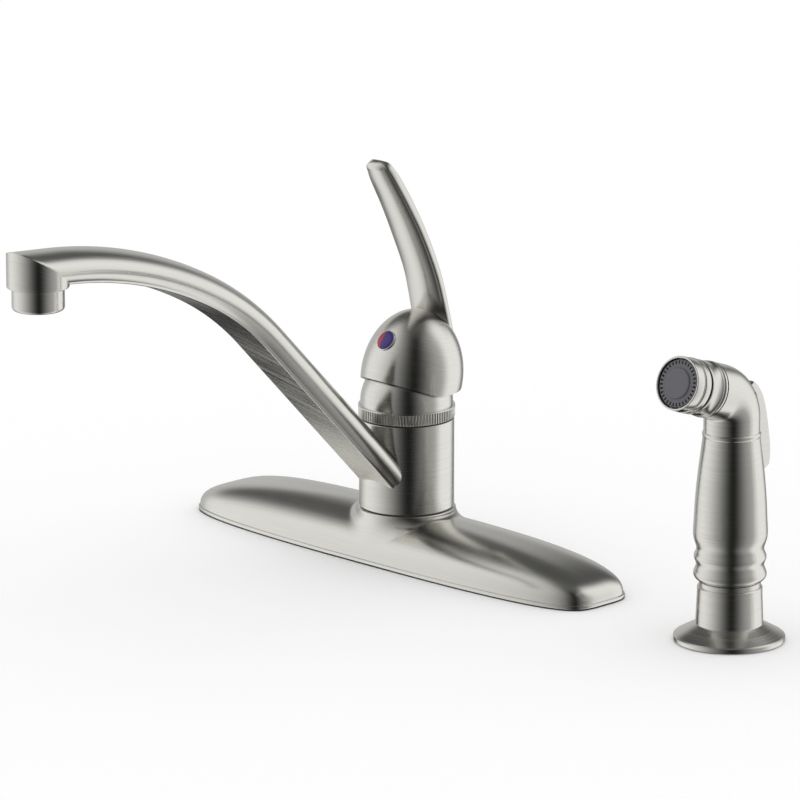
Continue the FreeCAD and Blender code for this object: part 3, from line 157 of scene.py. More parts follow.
@dataclass(frozen=True)
class HandleSizes:
    """Hood, lever and button, in the handle's own leaning frame.

    The rim's level and the visor's start are in the faucet's frame.
    """

    pivot: float = 73.2
    tilt: float = 12.0
    setback: float = 1.0
    wide_height: float = 12.0
    radius: float = 23.8
    crown: float = 31.2
    rim_level: float = 78.7
    visor_slope: float = 0.41
    visor_start: float = -1.5
    visor_round: float = 12.0
    wall: float = 1.7
    face_lean_left: float = 21.0
    face_lean_right: float = 41.0
    face_rise: float = 1.5
    soft_left: float = 0.4
    soft_right: float = 1.0
    back_shave: float = 1.3
    lever_gain: float = 1.03
    flare_side: float = 3.8
    flare_front_less: float = 1.2
    tip_length: float = 3.2
    tip_power: float = 0.85
    button_height: float = 27.5


@dataclass(frozen=True)
class SpraySizes:
    """Side spray's nozzle; distances along it start at the elbow."""

    x: float = 203.2
    elbow_level: float = 112.6
    nozzle_tilt: float = 18.0
    nozzle_face: float = 38.0
    collar_start: float = 17.5
    face_radius: float = 10.8
    plug_radius: float = 6.8
    slots: int = 32
    slot_radius: float = 9.45
    slot_length: float = 1.5
    slot_width: float = 0.75
    slot_depth: float = 1.2
    slot_wall: float = 0.03
    face_inset: float = 0.6
    face_drop: float = 0.35


class Slot(Enum):
    """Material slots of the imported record."""

    NICKEL = "brushed_nickel"
    PLATED = "plated_plastic"
    BRASS = "brass"
    STEEL = "steel"
    RUBBER = "rubber"
    WHITE = "white_plastic"
    GREY = "grey_plastic"
    FACE = "dark_face"
    CERAMIC = "ceramic"
    INDEX = "index_colours"


class Brush(Enum):
    """How strongly a brushed surface shows its lines."""

    FINE = 0.6
    PLAIN = 1.0
    COARSE = 2.4


# ------------------------------------------------------------------ mesh tools
def lerp(low: float, high: float, share: float) -> float:
    """Blend of two numbers, or of two rows of points; share 0 gives the first."""
    return low + (high - low) * share


def ring(angles: np.ndarray, radius: np.ndarray, level: np.ndarray) -> np.ndarray:
    """Ring of points about the upright axis; radius and level may differ round it."""
    return np.stack([radius * np.cos(angles), radius * np.sin(angles),
                     level + np.zeros_like(angles)], axis=1)


def unit(rows: np.ndarray) -> np.ndarray:
    """Vectors along the last axis, brought to length 1."""
    return rows / np.linalg.norm(rows, axis=-1, keepdims=True)


def crossing(low: np.ndarray, high: np.ndarray,
             passes: Callable[[np.ndarray], np.ndarray]) -> np.ndarray:
    """Where a test stops passing, found by halving.

    Args:
        low: values that pass the test.
        high: values that fail it.
        passes: the test, for all values at once.

    Returns:
        The highest passing values found.
    """
    for _ in range(HALVINGS):
        middle = (low + high) / 2
        good = passes(middle)
        low = np.where(good, middle, low)
        high = np.where(good, high, middle)
    return low


def catmull(points: Profile, count: int) -> np.ndarray:
    """Smooth curve through points, evenly spaced along its length.

    Args:
        points: control points of any dimension.
        count: number of samples.

    Returns:
        Array of count points.
    """
    ctrl = np.array(points, float)
    ctrl = np.vstack([2 * ctrl[0] - ctrl[1], ctrl, 2 * ctrl[-1] - ctrl[-2]])
    fine: List[np.ndarray] = []
    for index in range(1, len(ctrl) - 2):
        p0, p1, p2, p3 = ctrl[index - 1:index + 3]
        t = np.linspace(0, 1, 40, endpoint=False)[:, None]
        fine.append(0.5 * (2 * p1 + (p2 - p0) * t + (2 * p0 - 5 * p1 + 4 * p2 - p3) * t ** 2
                           + (3 * p1 - p0 - 3 * p2 + p3) * t ** 3))
    line = np.vstack(fine + [ctrl[-2][None]])
    steps = np.r_[0, np.cumsum(np.linalg.norm(np.diff(line, axis=0), axis=1))]
    wanted = np.linspace(0, steps[-1], count)
    return np.stack([np.interp(wanted, steps, column) for column in line.T], axis=1)


class MeshMaker:
    """Collects grids of points into one mesh with a brush-direction UV map."""

    def __init__(self, name: str) -> None:
        """Start an empty mesh for the object of that name."""
        self.name = name
        self.mesh = bmesh.new()
        self.uv = self.mesh.loops.layers.uv.new("brush")

    def grid(self, points: Grid, closed: bool = False, along_rows: bool = False) -> None:
        """Add a grid of quads.

        Args:
            points: rows x columns x 3 array, millimetres.
            closed: whether the last column joins the first.
            along_rows: brush lines follow the columns' direction instead of the rows'.
        """
        rows, cols = points.shape[:2]
        verts = [[self.mesh.verts.new(points[r, c] * MM) for c in range(cols)]
                 for r in range(rows)]
        wrapped = np.concatenate([points, points[:, :1]], axis=1) if closed else points
        across = np.linalg.norm(np.diff(wrapped, axis=1), axis=2)
        u = np.concatenate([np.zeros((rows, 1)), np.cumsum(across, axis=1)], axis=1)
        u = np.repeat(u.mean(axis=0)[None], rows, axis=0)
        down = np.linalg.norm(np.diff(points, axis=0), axis=2).mean(axis=1)
        v = np.concatenate([[0.0], np.cumsum(down)])
        last = cols if closed else cols - 1
        for r in range(rows - 1):
            for c in range(last):
                nxt = (c + 1) % cols
                corners = [(r, c, c), (r, nxt, c + 1), (r + 1, nxt, c + 1), (r + 1, c, c)]
                face = self.mesh.faces.new([verts[a][b] for a, b, _ in corners])
                for loop, (a, _, k) in zip(face.loops, corners):
                    pair = (u[a, k] * MM, v[a] * MM)
                    loop[self.uv].uv = pair[::-1] if along_rows else pair

    def spin(self, profile: Profile, segments: int = 160, seam: float = 135.0) -> None:
        """Turn a profile about the upright axis.

        Args:
            profile: (radius, level) pairs, millimetres.
            segments: number of columns.
            seam: direction in degrees where the UV map joins.
        """
        angles = math.radians(seam) + np.linspace(0, FULL_TURN, segments, endpoint=False)
        self.grid(np.array([ring(angles, *pair) for pair in profile]), closed=True)

    def finish(self, sharp: float = 35.0, merge: float = 0.004) -> bpy.types.Object:
        """Weld, shade and link the mesh.

        Args:
            sharp: edges over this angle in degrees stay sharp.
            merge: welding distance in millimetres.

        Returns:
            The new object.
        """
        bmesh.ops.remove_doubles(self.mesh, verts=self.mesh.verts, dist=merge * MM)
        bmesh.ops.recalc_face_normals(self.mesh, faces=self.mesh.faces)
        data = bpy.data.meshes.new(self.name)
        self.mesh.to_mesh(data)
        self.mesh.free()
        data.shade_smooth()
        data.set_sharp_from_angle(angle=math.radians(sharp))
        made = bpy.data.objects.new(self.name, data)
        bpy.context.scene.collection.objects.link(made)
        return made


MOST_OF_SIDE = 0.45   # of a profile's side that one rounding may take


def rounded(corners: Profile, radius: float, steps: int = 4) -> np.ndarray:
    """Profile with its inner corners rounded.

    Args:
        corners: (radius, level) corners.
        radius: largest rounding, millimetres.
        steps: points on each rounding.

    Returns:
        The rounded profile.
    """
    points = np.array(corners, float)
    out = [points[0]]
    for before, here, after in zip(points[:-2], points[1:-1], points[2:]):
        shorter = min(np.linalg.norm(before - here), np.linalg.norm(after - here))
        reach = min(radius, MOST_OF_SIDE * shorter)
        first = here + unit(before - here) * reach
        last = here + unit(after - here) * reach
        for t in np.linspace(0, 1, steps + 1):
            out.append((1 - t) ** 2 * first + 2 * t * (1 - t) * here + t ** 2 * last)
    out.append(points[-1])
    return np.array(out)


# ------------------------------------------------------------------ shader tools
class NodeTree:
    """Small helper for building shader trees."""

    def __init__(self, tree: bpy.types.NodeTree) -> None:
        """Wrap the tree that nodes are added to."""
        self.tree = tree

    def node(self, kind: str, **values: object) -> bpy.types.Node:
        """Add a node and set its properties.

        Args:
            kind: Blender's node type.
            values: properties to set on it.

        Returns:
            The new node.
        """
        made = self.tree.nodes.new(kind)
        for key, value in values.items():
            setattr(made, key, value)
        return made

    def link(self, source: object, target: object) -> None:
        """Join an output socket to an input socket."""
        self.tree.links.new(source, target)

    def put(self, socket: object, value: object) -> None:
        """Set an input from a socket or a plain value.

        Args:
            socket: the input.
            value: an output socket, a number or a tuple.
        """
        if isinstance(value, bpy.types.NodeSocket):
            self.link(value, socket)
        else:
            socket.default_value = value

    def math(self, operation: str, *values: object) -> object:
        """Add a Math node.

        Args:
            operation: Blender's name of the operation.
            values: its inputs, sockets or numbers.

        Returns:
            The output socket.
        """
        made = self.node("ShaderNodeMath", operation=operation)
        for socket, value in zip(made.inputs, values):
            self.put(socket, value)
        return made.outputs[0]

    def vector(self, operation: str, *values: object) -> object:
        """Add a Vector Math node.

        Args:
            operation: Blender's name of the operation.
            values: its inputs, sockets or tuples.

        Returns:
            The vector output, or the value output of a dot product.
        """
        made = self.node("ShaderNodeVectorMath", operation=operation)
        for socket, value in zip(made.inputs, values):
            self.put(socket, value)
        return made.outputs["Value" if operation == "DOT_PRODUCT" else "Vector"]

    def scaled(self, colour: Colour, factor: object) -> object:
        """Colour times a factor.

        Args:
            colour: base colour.
            factor: factor socket.

        Returns:
            The colour output.
        """
        made = self.node("ShaderNodeVectorMath", operation="SCALE")
        made.inputs[0].default_value = colour
        self.link(factor, made.inputs["Scale"])
        return made.outputs["Vector"]

    def bump(self, height: object, strength: float, distance: float, normal: object) -> None:
        """Press a height pattern into a surface.

        Args:
            height: height socket.
            strength: share of the full effect.
            distance: depth of the pattern, metres.
            normal: the shader's normal input.
        """
        made = self.node("ShaderNodeBump")
        made.inputs["Strength"].default_value = strength
        made.inputs["Distance"].default_value = distance
        self.link(height, made.inputs["Height"])
        self.link(made.outputs["Normal"], normal)

    def ramp(self, value: object, low: float, high: float, to_low: float,
             to_high: float) -> object:
        """Add a Map Range node with a smooth step.

        Args:
            value: input socket.
            low: input at the lower end.
            high: input at the upper end.
            to_low: output at the lower end.
            to_high: output at the upper end.

        Returns:
            The output socket.
        """
        made = self.node("ShaderNodeMapRange", interpolation_type="SMOOTHSTEP")
        for socket, number in zip(made.inputs, (value, low, high, to_low, to_high)):
            self.put(socket, number)
        return made.outputs[0]

    def noise(self, vector: object, scale: object, detail: float, rough: float = 0.5) -> object:
        """Add a noise texture.

        Args:
            vector: coordinate socket.
            scale: the noise's scale, a socket or a number.
            detail: octaves.
            rough: octave strength.

        Returns:
            The factor output.
        """
        made = self.node("ShaderNodeTexNoise")
        values = {"Vector": vector, "Scale": scale, "Detail": detail, "Roughness": rough}
        for label, value in values.items():
            self.put(made.inputs[label], value)
        return made.outputs["Fac"]


def new_group(name: str, inputs: Sequence[Tuple[str, str, object]],
              outputs: Sequence[Tuple[str, str]]
              ) -> Tuple[bpy.types.NodeTree, NodeTree, object, object]:
    """Make a shader node group.

    Args:
        name: the group's name.
        inputs: (name, socket type, default) of each input.
        outputs: (name, socket type) of each output.

    Returns:
        The group, its helper, and its input and output nodes.
    """
    group = bpy.data.node_groups.new(name, "ShaderNodeTree")
    for label, kind, default in inputs:
        socket = group.interface.new_socket(label, in_out="INPUT", socket_type=kind)
        if default is not None:
            socket.default_value = default
    for label, kind in outputs:
        group.interface.new_socket(label, in_out="OUTPUT", socket_type=kind)
    tools = NodeTree(group)
    return group, tools, tools.node("NodeGroupInput"), tools.node("NodeGroupOutput")


@dataclass(frozen=True)
class Brushed:
    """Brushed metal whose lines follow the brush UV map, or lie level without one."""

    colour: Colour
    roughness: float
    brush: Brush
    uv: bool = True
    turn: float = 0.0   # of the lines in the UV map, degrees


@dataclass(frozen=True)
class Moulded:
    """Plastic, rubber, ceramic or cast metal with a fine grain."""

    colour: Colour
    roughness: float
    grain: float   # scale of the grain
    strength: float
    metallic: float = 0.0
    coat: float = 0.0


@dataclass(frozen=True)
class TwoHalves:
    """Glossy button with one part of its face in each colour; lengths in metres."""

    left: Colour
    right: Colour
    split: float
    blend: float = 0.00015
    grain: float = 1500.0
    grain_roughness: float = 0.1
    roughness: float = 0.32


@dataclass(frozen=True)
class BrushLines:
    """Brush lines: scale of each layer, how they mix and how much they change."""

    fine: Point = (28.0, 3400.0, 28.0)
    broad: Point = (14.0, 900.0, 14.0)
    cloud: Point = (60.0, 60.0, 60.0)
    fine_share: float = 0.6
    shade: float = 0.40
    roughness: float = 0.3
    drift: float = 0.05
    anisotropic: float = 0.55
    quarter_turn: float = 0.25
    bump: Tuple[float, float] = (0.10, 0.00004)


@dataclass(frozen=True)
class Grain:
    """Grain of moulded and cast surfaces."""

    octaves: float = 4.0
    shade: float = 0.3
    roughness: float = 0.12
    bump: Tuple[float, float] = (0.15, 0.0001)


NICKEL: Colour = (0.71, 0.70, 0.655)
FINISHES: Dict[str, object] = {
    "nickel": Brushed(NICKEL, 0.24, Brush.PLAIN),
    "nickel fine": Brushed(NICKEL, 0.23, Brush.FINE),
    "nickel underside": Brushed(NICKEL, 0.24, Brush.COARSE, turn=58.0),
    "nickel plain": Brushed(NICKEL, 0.23, Brush.PLAIN, uv=False),
    "brass": Moulded((0.72, 0.53, 0.25), 0.34, 500.0, 0.5, metallic=1.0),
    "steel": Moulded((0.58, 0.57, 0.55), 0.25, 1200.0, 0.3, metallic=1.0),
    "rubber": Moulded((0.02, 0.02, 0.021), 0.6, 1400.0, 0.8),
    "white plastic": Moulded((0.72, 0.72, 0.69), 0.4, 800.0, 0.2),
    "grey plastic": Moulded((0.11, 0.11, 0.12), 0.42, 800.0, 0.4),
    "face plastic": Moulded((0.10, 0.10, 0.112), 0.38, 1500.0, 0.3),
    # painted shadow: near black put on the white plastic glide rings to draw the shadow in the
    # gaps beside the spout's sleeve
    "painted gap shadow": Moulded((0.03, 0.03, 0.028), 0.5, 1500.0, 0.3),
    "ceramic": Moulded((0.82, 0.81, 0.78), 0.2, 1200.0, 0.1, coat=0.3),
    "index": TwoHalves((0.38, 0.012, 0.045), (0.035, 0.02, 0.16), -0.0012),
}


class Finishes:
    """All materials of the faucet, by name."""

    lines = BrushLines()
    grain = Grain()

    def __init__(self) -> None:
        """Build the shared node groups and every finish."""
        self.brushing = self._brushing_group()
        self.wear = self._wear_group()
        self.made: Dict[str, bpy.types.Material] = {}
        makers = {Brushed: self.brushed, Moulded: self.moulded, TwoHalves: self.two_halves}
        for name, look in FINISHES.items():
            makers[type(look)](name, look)

    def _brushing_group(self) -> bpy.types.NodeTree:
        """Fine lines of a brushed metal.

        Returns:
            Group with shade, roughness and height outputs.
        """
        group, tools, source, target = new_group(
            "brush lines",
            [("Coordinate", "NodeSocketVector", None), ("Strength", "NodeSocketFloat", 1.0)],
            [("Shade", "NodeSocketFloat"), ("Roughness", "NodeSocketFloat"),
             ("Height", "NodeSocketFloat")])
        b = self.lines
        fine, broad, cloud = (
            tools.noise(tools.vector("MULTIPLY", source.outputs["Coordinate"], scale), 1.0, *layer)
            for scale, layer in ((b.fine, (3.0, 0.7)), (b.broad, (2.0, 0.5)),
                                 (b.cloud, (2.0, 0.5))))
        both = tools.math("ADD", tools.math("MULTIPLY", fine, b.fine_share),
                          tools.math("MULTIPLY", broad, 1.0 - b.fine_share))
        centred = tools.math("SUBTRACT", both, 0.5)
        height = tools.math("MULTIPLY", centred, source.outputs["Strength"])
        drift = tools.math("MULTIPLY", tools.math("SUBTRACT", cloud, 0.5), b.drift)
        tools.link(tools.math("MULTIPLY_ADD", height, b.shade, 1.0), target.inputs["Shade"])
        tools.link(tools.math("MULTIPLY_ADD", height, b.roughness, drift),
                   target.inputs["Roughness"])
        tools.link(height, target.inputs["Height"])
        return group

    def _wear_group(self) -> bpy.types.NodeTree:
        """Cloudy variation of a moulded or cast surface.

        Returns:
            Group with shade and height outputs.
        """
        group, tools, source, target = new_group(
            "moulded variation",
            [("Scale", "NodeSocketFloat", 300.0), ("Strength", "NodeSocketFloat", 1.0)],
            [("Shade", "NodeSocketFloat"), ("Height", "NodeSocketFloat")])
        where = tools.node("ShaderNodeTexCoord").outputs["Object"]
        cloud = tools.noise(where, source.outputs["Scale"], self.grain.octaves)
        centred = tools.math("SUBTRACT", cloud, 0.5)
        height = tools.math("MULTIPLY", centred, source.outputs["Strength"])
        tools.link(tools.math("MULTIPLY_ADD", height, self.grain.shade, 1.0),
                   target.inputs["Shade"])
        tools.link(height, target.inputs["Height"])
        return group

    def _start(self, name: str, metallic: float = 0.0) -> Tuple[NodeTree, object]:
        """New material with its Principled shader.

        Args:
            name: the material's name.
            metallic: 1 for metal.

        Returns:
            The tree helper and the shader node.
        """
        material = bpy.data.materials.new(name)
        material.use_nodes = True
        shader = material.node_tree.nodes["Principled BSDF"]
        shader.inputs["Metallic"].default_value = metallic
        self.made[name] = material
        return NodeTree(material.node_tree), shader

    def brushed(self, name: str, look: Brushed) -> None:
        """Make a brushed metal.

        Args:
            name: the material's name.
            look: its values.
        """
        tools, shader = self._start(name, metallic=1.0)
        if look.uv:
            where = tools.node("ShaderNodeUVMap", uv_map="brush").outputs["UV"]
        else:
            place = tools.node("ShaderNodeTexCoord").outputs["Object"]
            parts = tools.node("ShaderNodeSeparateXYZ")
            tools.link(place, parts.inputs[0])
            level = tools.node("ShaderNodeCombineXYZ")
            tools.link(tools.math("ADD", parts.outputs["X"], parts.outputs["Y"]),
                       level.inputs["X"])
            tools.link(parts.outputs["Z"], level.inputs["Y"])
            where = level.outputs[0]
        if look.turn:
            spun = tools.node("ShaderNodeVectorRotate", rotation_type="Z_AXIS")
            tools.link(where, spun.inputs["Vector"])
            spun.inputs["Angle"].default_value = math.radians(look.turn)
            where = spun.outputs["Vector"]
        lines = tools.node("ShaderNodeGroup", node_tree=self.brushing)
        tools.link(where, lines.inputs["Coordinate"])
        lines.inputs["Strength"].default_value = look.brush.value
        tools.link(tools.scaled(look.colour, lines.outputs["Shade"]),
                   shader.inputs["Base Color"])
        tools.link(tools.math("ADD", lines.outputs["Roughness"], look.roughness),
                   shader.inputs["Roughness"])
        tools.bump(lines.outputs["Height"], *self.lines.bump, shader.inputs["Normal"])
        if look.uv:
            rotation = self.lines.quarter_turn + look.turn / 360.0
            shader.inputs["Anisotropic"].default_value = self.lines.anisotropic
            shader.inputs["Anisotropic Rotation"].default_value = rotation
            tangent = tools.node("ShaderNodeTangent", direction_type="UV_MAP", uv_map="brush")
            tools.link(tangent.outputs["Tangent"], shader.inputs["Tangent"])

    def moulded(self, name: str, look: Moulded) -> None:
        """Make a material with a fine grain.

        Args:
            name: the material's name.
            look: its values.
        """
        tools, shader = self._start(name, look.metallic)
        grain = tools.node("ShaderNodeGroup", node_tree=self.wear)
        grain.inputs["Scale"].default_value = look.grain
        grain.inputs["Strength"].default_value = look.strength
        height = grain.outputs["Height"]
        tools.link(tools.scaled(look.colour, grain.outputs["Shade"]),
                   shader.inputs["Base Color"])
        tools.link(tools.math("MULTIPLY_ADD", height, self.grain.roughness, look.roughness),
                   shader.inputs["Roughness"])
        shader.inputs["Coat Weight"].default_value = look.coat
        tools.bump(height, *self.grain.bump, shader.inputs["Normal"])

    def two_halves(self, name: str, look: TwoHalves) -> None:
        """Make the button's two colours, divided by an upright line.

        Args:
            name: the material's name.
            look: its values.
        """
        tools, shader = self._start(name)
        place = tools.node("ShaderNodeSeparateXYZ")
        tools.link(tools.node("ShaderNodeTexCoord").outputs["Object"], place.inputs[0])
        side = tools.ramp(place.outputs["X"], look.split - look.blend, look.split + look.blend,
                          0.0, 1.0)
        mix = tools.node("ShaderNodeMix", data_type="RGBA")
        tools.link(side, mix.inputs["Factor"])
        mix.inputs[6].default_value = (*look.left, 1)
        mix.inputs[7].default_value = (*look.right, 1)
        tools.link(mix.outputs[2], shader.inputs["Base Color"])
        grain = tools.node("ShaderNodeGroup", node_tree=self.wear)
        grain.inputs["Scale"].default_value = look.grain
        tools.link(tools.math("MULTIPLY_ADD", grain.outputs["Height"], look.grain_roughness,
                              look.roughness), shader.inputs["Roughness"])


# ------------------------------------------------------------------ pieces
class Piece:
    """Dressed pieces that ride on a body and may stand for CAD nodes."""

    def __init__(self, finishes: Finishes) -> None:
        """Keep the shared finishes."""
        self.finishes = finishes

    def paint(self, made: bpy.types.Object, material: str) -> None:
        """Give an object the finish of that name, and no other."""
        made.data.materials.clear()
        made.data.materials.append(self.finishes.made[material])

    def settle(self, made: bpy.types.Object, material: str, body: str, slot: Slot,
               *nodes: str) -> bpy.types.Object:
        """Give a piece its material and place in the frame.

        Args:
            made: the object.
            material: name of its finish.
            body: CAD body that it rides on.
            slot: material slot of the record; not used.
            nodes: CAD nodes that it stands for.

        Returns:
            The object.
        """
        self.paint(made, material)
        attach(made, body)
        LOG.info("%s: %s, on %s", made.name, material, body)
        if nodes:
            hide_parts(*nodes)
        return made


class DeckPlate(Piece):
    """Crowned plate with its rim and the collar under the spout."""

    sizes = PlateSizes()
    columns = 360
    seam = 0.004
    lean_of_lines = 0.6

    def outline(self, angles: np.ndarray) -> np.ndarray:
        """Distance from the middle to the plate's edge.

        Args:
            angles: directions in radians.

        Returns:
            Radii in millimetres.
        """
        s = self.sizes

        def inside(radius: np.ndarray) -> np.ndarray:
            """Whether points at these radii lie on the plate."""
            x = np.abs(radius * np.cos(angles)) / (s.length / 2)
            y = np.abs(radius * np.sin(angles)) / (s.width / 2)
            return x ** s.end_power + y ** s.side_power < 1

        return crossing(np.zeros_like(angles), np.full_like(angles, s.length), inside)

    def level(self, angles: np.ndarray, radius: np.ndarray) -> np.ndarray:
        """Height of the crown over points of a ring.

        Args:
            angles: directions in radians.
            radius: one radius, or one for each direction.

        Returns:
            Levels in millimetres.
        """
        s = self.sizes
        x, y = np.abs(radius * np.cos(angles)), np.abs(radius * np.sin(angles))
        half_length, half_width = s.length / 2 - s.rim_step, s.width / 2 - s.rim_step

        def under(share: np.ndarray) -> np.ndarray:
            """Whether the crown is higher than this share of its rise."""
            along = (1 - share ** s.length_power) ** (1 / s.length_power) * half_length + 1e-9
            across = (1 - share ** s.width_power) ** (1 / s.width_power) * half_width + 1e-9
            return (x / along) ** s.end_power + (y / across) ** s.side_power < 1

        share = crossing(np.zeros_like(x), np.ones_like(x), under)
        return s.rim_height + (s.height - s.rim_step - s.rim_height) * share

    def collar_rows(self, angles: np.ndarray) -> List[np.ndarray]:
        """Wall of the collar and the fillet at its foot.

        Args:
            angles: directions in radians.

        Returns:
            Rows of points from the top down.
        """
        s = self.sizes
        rows = [ring(angles, s.collar_radius - inset, s.collar_top)
                for inset in (2.4, s.collar_edge)]
        top = s.collar_top - s.collar_edge
        low = np.minimum(self.level(angles, s.collar_radius) + s.fillet, top - 0.02)
        rows += [ring(angles, s.collar_radius, lerp(top, low, share))
                 for share in np.linspace(0.0, 1.0, 5)]
        for turn in np.linspace(0, math.pi / 2, 15)[1:]:
            radius = s.collar_radius + s.fillet * (1 - math.cos(turn))
            level = self.level(angles, radius) + s.fillet * (1 - math.sin(turn))
            rows.append(ring(angles, radius, np.minimum(level, top - 0.01)))
        return rows

    def build(self) -> None:
        """Make the plate and the soft pad's edge, which also stands in as a painted contact shadow
        under the rim.
        """
        s = self.sizes
        angles = np.linspace(0, FULL_TURN, self.columns, endpoint=False) + self.seam
        edge = self.outline(angles)
        start = s.collar_radius + s.fillet
        slant = np.sqrt(1 + (np.gradient(edge, angles) / edge) ** 2)
        inner_edge = edge - s.rim_step * slant
        rows = self.collar_rows(angles)
        for step in np.linspace(0, 1, 49)[1:]:
            radius = lerp(start, inner_edge - 0.02, 1 - (1 - step) ** s.row_power)
            rows.append(ring(angles, radius, self.level(angles, radius)))
        rows.append(ring(angles, inner_edge, s.rim_height + 0.15))
        for inset, level in ((0.45, s.rim_height + 0.05), (0.12, s.rim_height),
                             (0.0, s.rim_height - 0.15), (0.0, s.foot_gap + 0.2),
                             (0.2, s.foot_gap), (1.2, s.foot_gap)):
            rows.append(ring(angles, edge - inset, level))
        maker = MeshMaker("deck_plate_skin")
        maker.grid(np.array(rows), closed=True)
        made = maker.finish(sharp=50)
        for loop, uv in zip(made.data.loops, made.data.uv_layers["brush"].data):
            where = made.data.vertices[loop.vertex_index].co
            uv.uv = (where.x, where.y + self.lean_of_lines * where.z)
        self.gasket_and_shadow_line(angles, edge)
        self.settle(made, "nickel fine", "base", Slot.NICKEL, "deck_plate")

    def gasket_and_shadow_line(self, angles: np.ndarray, edge: np.ndarray) -> None:
        """Dark edge of the soft pad under the rim, brought out almost to the outline so that it
        also draws a painted contact shadow line along the plate's bottom.

        Args:
            angles: directions in radians.
            edge: the plate's outline radii.
        """
        # the dark pad fills the gap under the foot nearly to the outline: part real pad edge, part
        # painted contact shadow line
        low, high = 0.02, self.sizes.foot_gap - 0.05
        shape = ((3.0, high), (0.25, high), (0.1, self.sizes.foot_gap / 2), (0.25, low),
                 (3.0, low))
        maker = MeshMaker("plate_pad_and_shadow_line")
        maker.grid(np.array([ring(angles, edge - inset, level) for inset, level in shape]),
                   closed=True)
        self.settle(maker.finish(sharp=50), "rubber", "base", Slot.RUBBER)


